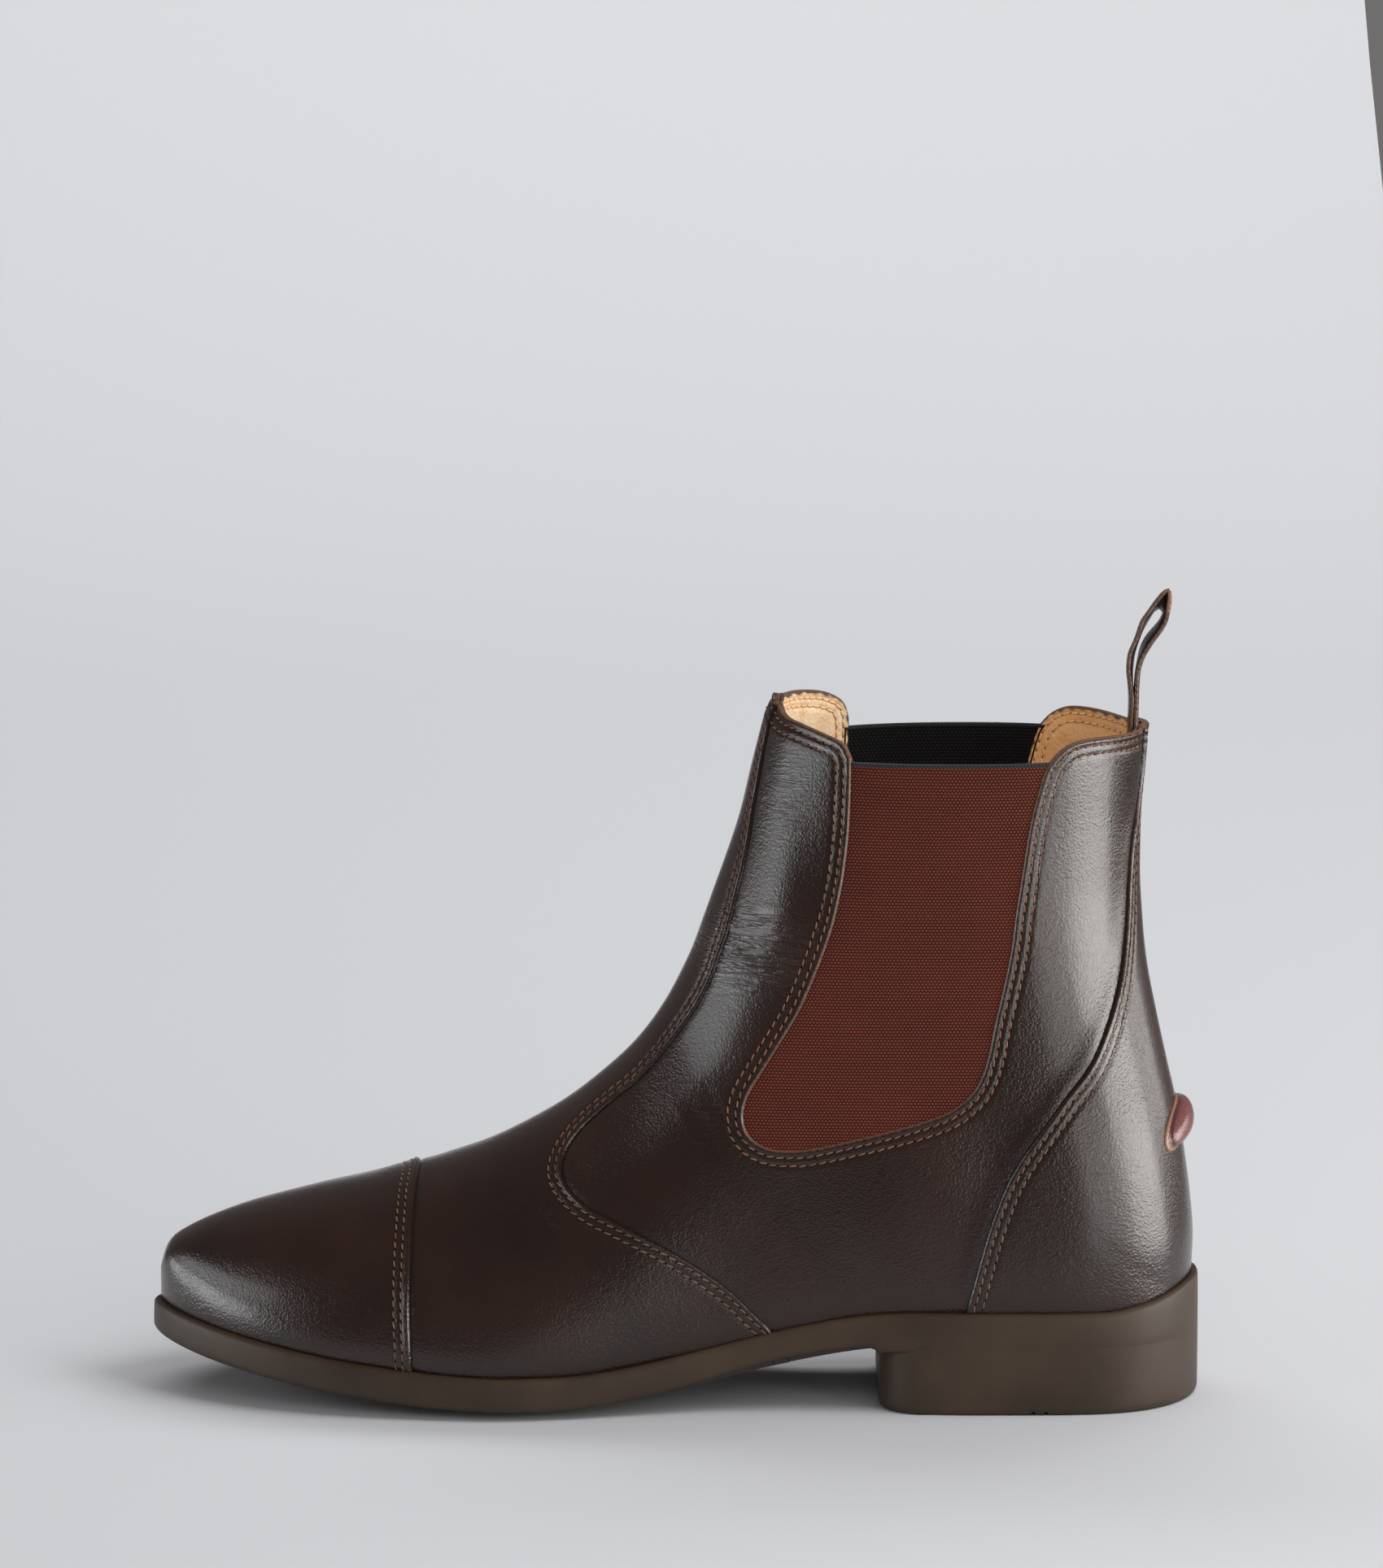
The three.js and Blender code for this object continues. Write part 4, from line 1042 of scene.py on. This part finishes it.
# the tread's middle sits lower than its edges in the forepart
inward = []
for share in (.93, .8, .6, .3, .0):
    loop = loops[0].copy()
    mate = np.r_[0, np.arange(len(loop) - 1, 0, -1)]
    middle = (loop + loop[mate]) / 2
    p = middle + (loop - middle) * share
    hang = np.where(loop[:, 0] < BREAST, 0, np.clip((1 - share ** 2) * 1.25, 0, 1))
    p[:, 2] = loop[:, 2] - tread_drop(loop[:, 0]) * hang
    inward.append(p)
stack = inward[::-1] + loops
sole_points = np.concatenate(stack)
sole_tris = strip_loops(stack)

# the heel's lift, from the waist's underside to the floor, with rounded front corners: loops, each with
# its inset in mm and its height as a share; past EDGE_INSET they shrink to the middle and close the tread
HEEL_LEVELS = [
    (0, 1.0), (0, .6), (0, .3), (0, .12), (.12, .062), (.35, .03), (.75, .008), (1.3, 0), (6, 0), (14, 0),
    (24, 0), (29.9, 0)]
EDGE_INSET = 3
CLOSED_INSET = 30
heel_top = arch + HEEL_OVERLAP
heel_loops = []
for inset, level in HEEL_LEVELS:
    edge_inset = min(inset, EDGE_INSET)
    loop = sole_loop(xs, edge_inset)
    keep = loop[:, 0] < corner_start + .01
    body = loop[keep]
    order = np.argsort(np.arctan2(body[:, 1], -(body[:, 0] - corner_start) + 1e-6))
    body = body[order]
    corners = []
    for sign, start in ((1, body[-1]), (-1, body[0])):
        turn = np.linspace(0, np.pi / 2, 12)[1:]
        pivot_y = start[1] - sign * BREAST_CORNER
        corners.append(np.c_[corner_start + (BREAST_CORNER - edge_inset) * np.sin(turn),
                             pivot_y + sign * BREAST_CORNER * np.cos(turn)])
    front = np.linspace(corners[0][-1], corners[1][-1], 14)[1:-1]
    ring = np.r_[body, corners[0], front, corners[1][::-1]]
    grooved = np.zeros(len(ring))
    for g in GROOVES:
        grooved = np.maximum(grooved, GROOVE_DEEP * (np.abs(ring[:, 0] - g) < GROOVE_HALF * 1.1))
    if inset > EDGE_INSET:
        centre = np.array([BREAST / 2, 0])
        ring = centre + (ring - centre) * (1 - inset / CLOSED_INSET)
    heel_loops.append(np.c_[ring, heel_top * level + grooved * (level < .05)])
heel_points = np.concatenate(heel_loops)
heel_tris = strip_loops(heel_loops)
sole_tris = np.r_[outward(sole_points, sole_tris), outward(heel_points, heel_tris) + len(sole_points)]
sole = mesh_object("sole_unit", np.r_[sole_points, heel_points], sole_tris, [rubber], smooth_angle=38)
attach(sole, "root")
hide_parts("outsole")

# insole: a soft footbed, raised along its rim, that fills the lining's foot
BED_SINK = .2  # the bed lies this far under the feather line and runs as far into the lining
BED_RIM = .96
loop, way = footprint(xs)
loop = np.c_[loop[:, 0] - way[:, 1] * (WALL - BED_SINK), loop[:, 1] + way[:, 0] * (WALL - BED_SINK)]
middle_y = np.r_[swing(xs), swing(xs)[-2:0:-1]]
bed = []
for share in (1.0, .97, .9, .75, .5, .25, .0):
    z = feather(loop[:, 0]) - BED_SINK + BED_RIM * max(share - .7, 0) / .3
    bed.append(np.c_[loop[:, 0], middle_y + (loop[:, 1] - middle_y) * share, z])
bed_points, bed_tris = np.concatenate(bed), strip_loops(bed)
lean = vertex_normals(bed_points, bed_tris)
bed_tris = bed_tris if lean[:, 2].mean() > 0 else bed_tris[:, ::-1]
footbed = mesh_object("footbed", bed_points, bed_tris, [pigskin],
                      {"dark": np.zeros(len(bed_points)), "rear": np.ones(len(bed_points))})
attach(footbed, "root")
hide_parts("insole")


# pull loop
strap_middle = back(LOOP_ENTRY * HEIGHT) + WALL + 1.4


def loop_edge(halves):
    """One edge of the strap as an even line: each strand gets the same number of points."""
    strands = []
    for strand in halves:
        line, run = curve_through(np.array(strand) * [1, HEIGHT] + [strap_middle, 0], 12)
        strands.append(places_along(line, run, np.linspace(0, run[-1], STRAND_POINTS)))
    return np.r_[strands[0], strands[1][1:]]


near_edge, far_edge = loop_edge(LOOP_NEAR), loop_edge(LOOP_FAR)
way = np.gradient((near_edge + far_edge) / 2, axis=0)
way /= np.linalg.norm(way, axis=1)[:, None]
lift = np.c_[-way[:, 1], way[:, 0]]  # towards the inside of the loop
turns = 2 * math.pi * np.arange(STRAP_AROUND) / STRAP_AROUND
tape_section = np.c_[np.sign(np.cos(turns)) * np.abs(np.cos(turns)) ** .3,
                     np.sign(np.sin(turns)) * np.abs(np.sin(turns)) ** .7]  # place across, place through
loop_rings = []
for k in range(len(near_edge)):
    frayed = .22 * math.sin(k * .9) * math.sin(k * .37)
    ring = []
    for u, v in tape_section:
        share = (1 - u) / 2
        x, z = near_edge[k] * (1 - share) + far_edge[k] * share + lift[k] * STRAP_HALF * v
        ring.append((x, -u * (LOOP_HALF + frayed), z))
    loop_rings.append(np.array(ring))
loop_points, loop_tris = np.concatenate(loop_rings), strip_loops(loop_rings)
loop_tris = outward(loop_points - loop_points.mean(0), loop_tris)
# worn pale along its edges and most at the fold, darker inside the loop
off_middle = np.abs(tape_section[:, 0])
worn = np.tile(np.clip((off_middle - .93) / .06, 0, 1), len(loop_rings))
fold = (loop_points[:, 2] > 1.118 * HEIGHT) & (loop_points[:, 0] < back(LOOP_ENTRY * HEIGHT) - 4.6)
worn = np.maximum(worn * .22, fold * .75)
inner_face = (tape_section[:, 1] > .3) & (off_middle < .93)
shaded = np.tile(np.where(inner_face, .9, 0), len(loop_rings))
strap = mesh_object("pull_loop_tape", loop_points, loop_tris, [loop_calf], {"raw": worn, "dark": shaded})
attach(strap, "root")
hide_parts("pull_loop")


# spur rest
def stay_surface(y, z):
    """Point of the form at the back of the heel, found by halving."""
    low, high = back(z) + 0 * y, back(z) + 30 + 0 * y
    for _ in range(26):
        x = (low + high) / 2
        short = deep_half(x, z, -1) < np.abs(y)
        low, high = np.where(short, x, low), np.where(short, high, x)
    return np.stack([x, y, z], -1)


rest_rho = np.r_[np.linspace(.2, .9, 11), .95, .985, 1.0, 1.02, 1.05, 1.08, 1.1, 1.12, 1.13]
rest_phi = 2 * math.pi * np.arange(REST_AROUND) / REST_AROUND
rho, phi = np.meshgrid(rest_rho, rest_phi, indexing="ij")
rest_y = REST_LONG * rho ** .9 * np.sign(np.cos(phi)) * np.abs(np.cos(phi)) ** .55
rest_z = (REST_UP * HEIGHT - REST_DROOP * (rest_y / REST_LONG) ** 2
          + REST_TALL * rho * np.sign(np.sin(phi)) * np.abs(np.sin(phi)) ** .85)


def rest_foot(y, z):
    """The form's point at the heel's back, and the way out of it."""
    a = stay_surface(y, z)
    lean = np.cross(stay_surface(y + .2, z) - a, stay_surface(y, z + .2) - a)
    lean /= np.linalg.norm(lean, axis=-1, keepdims=True)
    return a, lean * -np.sign(lean[..., :1])


rest_base, rest_out = rest_foot(rest_y, rest_z)
pad = REST_PROUD * np.sqrt(np.clip(1 - rho ** 2.4, 0, 1))
flange = REST_FLANGE * np.sqrt(np.clip(1 - (np.maximum(rho - 1.05, 0) / .08) ** 2, 0, 1)) - .35 * (rho > 1.12)
rest_grid = rest_base + rest_out * (OVERLAY_RISE + pad + flange)[..., None]
crown_point, crown_out = rest_foot(np.array([0.0]), np.array([REST_UP * HEIGHT]))
rest_crown = crown_point + crown_out * (OVERLAY_RISE + REST_PROUD + REST_FLANGE)
rest_points = np.r_[rest_crown, rest_grid.reshape(-1, 3)]
spoke = np.arange(REST_AROUND)
rest_tris = np.r_[np.c_[np.zeros(REST_AROUND, int), 1 + spoke, 1 + (spoke + 1) % REST_AROUND],
                  strip_loops(list(rest_grid)) + 1]
if vertex_normals(rest_points, rest_tris)[0, 0] > 0:
    rest_tris = rest_tris[:, ::-1]
on_flange = np.r_[0, np.clip((rho - .99) / .04, 0, 1).ravel()]
# painted shade in the corner where the pad meets its flange
corner_shade = np.r_[0, (.55 * np.exp(-((rho - 1.0) / .03) ** 2)).ravel()]
rest = mesh_object("spur_rest_pad", rest_points, rest_tris, [rest_calf],
                   {"raw": on_flange * .3, "dark": corner_shade})
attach(rest, "root")
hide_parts("spur_rest")


# stitches
def stitch_tree(name, material):
    """Thread stitches on points that carry the way along the seam and the way out of the leather."""
    tree = bpy.data.node_groups.new(name, "GeometryNodeTree")
    tree.interface.new_socket("Points", in_out="INPUT", socket_type="NodeSocketGeometry")
    for label, value in (("Stitch length", STITCH_LENGTH / 1000), ("Thread radius", THREAD_RADIUS / 1000)):
        socket = tree.interface.new_socket(label, in_out="INPUT", socket_type="NodeSocketFloat")
        socket.default_value = value
    tree.interface.new_socket("Thread", in_out="OUTPUT", socket_type="NodeSocketGeometry")
    entry = node(tree, "NodeGroupInput")
    ball = node(tree, "GeometryNodeMeshUVSphere", Segments=7, Rings=5, Radius=1.0)
    reach = maths(tree, "MULTIPLY", entry.outputs["Stitch length"], .5)
    thick = entry.outputs["Thread radius"]
    size = node(tree, "ShaderNodeCombineXYZ", X=reach, Y=thick, Z=thick)
    shaped = node(tree, "GeometryNodeTransform", Geometry=ball.outputs["Mesh"], Scale=size.outputs[0])
    along = node(tree, "GeometryNodeInputNamedAttribute", {"data_type": "FLOAT_VECTOR"}, Name="along")
    out = node(tree, "GeometryNodeInputNamedAttribute", {"data_type": "FLOAT_VECTOR"}, Name="out")
    turn = node(tree, "FunctionNodeAlignRotationToVector", {"axis": "X"}, Vector=along.outputs[0])
    turn = node(tree, "FunctionNodeAlignRotationToVector", {"axis": "Z", "pivot_axis": "X"},
                Rotation=turn.outputs[0], Vector=out.outputs[0])
    points_in = node(tree, "GeometryNodeMeshToPoints", Mesh=entry.outputs["Points"])
    sewn_on = node(tree, "GeometryNodeInstanceOnPoints", Points=points_in.outputs[0],
                   Instance=shaped.outputs[0], Rotation=turn.outputs[0])
    real = node(tree, "GeometryNodeRealizeInstances", Geometry=sewn_on.outputs[0])
    smoothed = node(tree, "GeometryNodeSetShadeSmooth", Geometry=real.outputs[0])
    coloured = node(tree, "GeometryNodeSetMaterial", Geometry=smoothed.outputs[0], Material=material)
    node(tree, "NodeGroupOutput", i0=coloured.outputs[0])
    return tree


def sew(name, places, along, out, material, length=STITCH_LENGTH, radius=THREAD_RADIUS):
    """One piece of many stitches: places, ways and outs in the frame, length and radius in mm."""
    data = bpy.data.meshes.new(name + "_points")
    data.vertices.add(len(places))
    data.vertices.foreach_set("co", np.asarray(places, np.float32).ravel())
    for key, values in (("along", along), ("out", out)):
        layer = data.attributes.new(key, "FLOAT_VECTOR", "POINT").data
        layer.foreach_set("vector", np.asarray(values, np.float32).ravel())
    holder = bpy.data.objects.new(name + "_points", data)
    bpy.context.scene.collection.objects.link(holder)
    tree = stitch_tree(name + "_tree", material)
    modifier = holder.modifiers.new("Stitches", "NODES")
    modifier.node_group = tree
    for socket in tree.interface.items_tree:
        if socket.in_out == "INPUT" and socket.name == "Stitch length":
            modifier[socket.identifier] = length / 1000
        if socket.in_out == "INPUT" and socket.name == "Thread radius":
            modifier[socket.identifier] = radius / 1000
    depsgraph = bpy.context.evaluated_depsgraph_get()
    result = bpy.data.meshes.new_from_object(holder.evaluated_get(depsgraph), depsgraph=depsgraph)
    bpy.data.objects.remove(holder)
    o = bpy.data.objects.new(name, result)
    bpy.context.scene.collection.objects.link(o)
    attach(o, "root")


def surface_of(o):
    """A piece's surface, to find its nearest point."""
    verts = [v.co.copy() for v in o.data.vertices]
    return BVHTree.FromPolygons(verts, [tuple(p.vertices) for p in o.data.polygons])


form_tree = KDTree(len(form.points))
for k, p in enumerate(form.points):
    form_tree.insert(p, k)
form_tree.balance()

trees = {name: surface_of(o) for name, o in panels.items()}
trees["lining"] = surface_of(lining)


LEATHER_REACH = .0045  # metres from the seam's row to the leather it lies on, at most


def row_of_stitches(phase, seam, k, offset, pieces, test):
    """Even places beside a seam, on the nearest leather; the phase sets them on stitches or between them."""
    solid = seams[seam][k][1]
    n = np.array([form.normals[form_tree.find(p)[1]] for p in solid])
    tangent = np.gradient(solid, axis=0)
    tangent /= np.linalg.norm(tangent, axis=1)[:, None]
    aside = np.cross(n, tangent)
    aside /= np.linalg.norm(aside, axis=1)[:, None]
    probe = distance(solid + aside * 1.5, seam)
    aside *= np.sign(np.median(probe))
    line = solid + aside * offset
    run = running_length(line)
    places = places_along(line, run, np.arange(STITCH_PITCH * phase, run[-1], STITCH_PITCH))
    gaps = distance(places, seam)
    good = (gaps - offset > -.4) & (gaps - offset < .8) & test(places)
    places = to_row(places[good])
    found, outs = [], []
    for p in places:
        hits = [trees[piece].find_nearest(Vector(p)) for piece in pieces]
        place, out, _, gap = min(hits, key=lambda hit: hit[3])
        if gap <= LEATHER_REACH:
            found.append(np.array(place))
            outs.append(np.array(out))
    found, outs = np.array(found), np.array(outs)
    if len(found) < 2:
        return np.zeros((0, 3)), np.zeros((0, 3)), np.zeros((0, 3))
    ways = np.gradient(found, axis=0)
    ways /= np.linalg.norm(ways, axis=1)[:, None]
    return found, ways + STITCH_SLANT * np.cross(outs, ways), outs


def gather(phase, rows):
    """Places, ways and outs of several rows together."""
    parts = [row_of_stitches(phase, *row) for row in rows]
    return [np.concatenate(values) for values in zip(*parts)]


def short_of_back(p):
    """The collar's rows end where the pull loop goes in."""
    return p[:, 0] > back(p[:, 2]) + 1.2


def above_sole(p):
    return p[:, 2] > sole_top(p[:, 0]) + .5


def clear_of_edge_and_sole(p):
    return (distance(p, "edge") > 4.8) & above_sole(p)


def at_collar(p):
    return p[:, 2] > .8 * HEIGHT


LEATHERS = ["quarter_outer", "quarter_inner", "vamp", "backstay"]


def rows_of(seam, pieces, test):
    """Both sides' rows of stitches along a seam."""
    return [(seam, k, offset, pieces, test) for k in (0, 1) for offset in ROWS_OF_STITCHES[seam]]


collar_rows = rows_of("edge", LEATHERS, short_of_back)
seam_rows = (rows_of("vamp", ["vamp"], clear_of_edge_and_sole)
             + rows_of("stay", ["backstay"], clear_of_edge_and_sole)
             + rows_of("cap", ["toe_cap"], above_sole))
for label, rows, material in (("collar", collar_rows, edge_thread), ("seam", seam_rows, dark_thread)):
    places, along, outs = gather(.5, rows)
    sew(label + "_stitches", places + outs * .00005, along, outs, material)
    places, along, outs = gather(1, rows)
    sew(label + "_needle_holes", places - outs * .0001, along, outs, hole, .75, .26)

inside = rows_of("edge", ["lining"], at_collar)
places, along, outs = gather(.5, inside)
sew("lining_stitches", places + outs * .0001, along, outs, tan_thread, 2.3, .34)
places, along, outs = gather(1, inside)
sew("lining_needle_holes", places - outs * .00005, along, outs, prick, .5, .24)


def sew_beside(name, line, out, material, pitch, length, radius):
    """A row of small stitches along a line given in the form's millimetres."""
    run = running_length(line)
    at = np.arange(pitch / 2, run[-1], pitch)
    even, out = places_along(line, run, at), places_along(out, run, at)
    way = np.gradient(to_row(even), axis=0)
    way /= np.linalg.norm(way, axis=1)[:, None]
    out_row = to_row(even + out) - to_row(even)
    out_row /= np.linalg.norm(out_row, axis=1)[:, None]
    sew(name, to_row(even), way, out_row, material, length, radius)


for name, edge, sign in (("near", near_edge, -1), ("far", far_edge, 1)):
    for strand, inward in (("inner", .45), ("outer", -.45)):
        line = edge + lift * inward * STRAP_HALF
        line = np.c_[line[:, 0], np.full(len(line), sign * (LOOP_HALF + .02)), line[:, 1]]
        sew_beside("loop_" + name + "_" + strand, line[6:-6], np.tile([0.0, sign, 0.0], (len(line) - 12, 1)),
                   dark_thread, 1.5, .7, .12)
ring = int(np.argmin(np.abs(rest_rho - 1.05)))
flange_line = np.r_[rest_grid[ring], rest_grid[ring][:1]]
flange_out = np.r_[rest_out[ring], rest_out[ring][:1]]
sew_beside("rest_stitches", flange_line, flange_out, dark_thread, 1.5, .8, .13)


# floor, light, camera
def stage_floor():
    """A table of seamless pale paper that curves up behind, narrow so that the panels reach past it."""
    front, bend, radius, half_wide = -.22, 1.1, 1.2, .31
    angles = np.linspace(.1, math.radians(52), 10)
    rows = [(y, 0) for y in np.linspace(front, bend, 8)]
    rows += [(bend + radius * math.sin(a), radius - radius * math.cos(a)) for a in angles]
    verts, faces = [], []
    for y, z in rows:
        verts += [(-half_wide, y, z), (half_wide, y, z)]
    for k in range(len(rows) - 1):
        faces.append((2 * k, 2 * k + 1, 2 * k + 3, 2 * k + 2))
    data = bpy.data.meshes.new("sweep")
    data.from_pydata(verts, [], faces)
    for p in data.polygons:
        p.use_smooth = True
    o = bpy.data.objects.new("sweep", data)
    bpy.context.scene.collection.objects.link(o)
    # uncoated paper: matt, with hardly a sheen
    paper = finish("matt_paper", Base_Color=linear("#b9babd"), Roughness=.9, Specular_IOR_Level=.15)[0]
    data.materials.append(paper)


stage_floor()


def softbox(name, place, target, size, watts, colour=(1, 1, 1), shine=True):
    """A rectangular light that faces its target; without shine it leaves no highlight."""
    data = bpy.data.lights.new(name, "AREA")
    data.shape = "RECTANGLE"
    data.size, data.size_y = size
    data.energy = watts
    data.color = colour
    o = bpy.data.objects.new(name, data)
    o.location = place
    o.rotation_euler = (Vector(target) - Vector(place)).to_track_quat("-Z", "Y").to_euler()
    o.visible_glossy = shine
    bpy.context.scene.collection.objects.link(o)


PANEL_RING = 1.35  # metres from the boot to the panels around it


def side_panel(name, start, end, low, high, strength, colour):
    """A panel on the ring, between two bearings in degrees from the camera's side, right positive."""
    bearing = math.radians((start + end) / 2)
    wide, tall = 2 * PANEL_RING * math.sin(math.radians(end - start) / 2), high - low
    middle = (low + high) / 2
    softbox(name, (PANEL_RING * math.sin(bearing), -PANEL_RING * math.cos(bearing), middle), (0, 0, middle),
            (wide, tall), strength * wide * tall, colour)


# panels around the boot, seen in the polish, with their strength in watts a square metre; then plain fills
WARM, COOL = (1, .985, .96), (.95, .975, 1)
side_panel("right_front_low", 20, 55, -.4, 0, 13, WARM)
side_panel("right_side_low", 55, 100, -.4, 0, 20, WARM)
side_panel("right_side", 47, 95, -.05, .27, 30, WARM)
side_panel("right_back", 95, 122, 0, .3, 14, WARM)
side_panel("right_front_high", 35, 50, .3, .65, 22, WARM)
side_panel("left_side", -112, -85, -.4, .15, 14, COOL)
side_panel("left_front", -85, -58, -.25, .15, 24, COOL)
side_panel("left_high", -100, -50, .3, .65, 9.5, COOL)
softbox("overhead", (.9, -.35, 1.35), (.1, 0, 0), (1.1, 1.0), 21, shine=False)
softbox("front_fill", (.2, -1.7, 1.0), (0, 0, .1), (1.2, .8), 7, shine=False)
softbox("backdrop", (-.1, 1.3, 1.9), (-.1, 1.6, 0), (3.0, 1.0), 43, shine=False)
world = bpy.data.worlds.new("studio")
world.use_nodes = True
background = world.node_tree.nodes["Background"]
background.inputs["Color"].default_value = (1, .97, .96, 1)
background.inputs["Strength"].default_value = .16
bpy.context.scene.world = world
bpy.context.scene.view_settings.view_transform = "Standard"

# focal length of 11020 of the photograph's pixels, which is 1928 high, on a sensor 36 mm high
camera = bpy.data.cameras.new("camera")
camera.sensor_fit = "VERTICAL"
camera.sensor_height = 36
camera.lens = 11020 / 1928 * 36
camera.clip_end = 50
eye = bpy.data.objects.new("camera", camera)
eye.location = (.0043, -2.3 - shift_y, .58)
eye.rotation_euler = (math.radians(90 - 10.309), 0, 0)
bpy.context.scene.collection.objects.link(eye)
bpy.context.scene.camera = eye
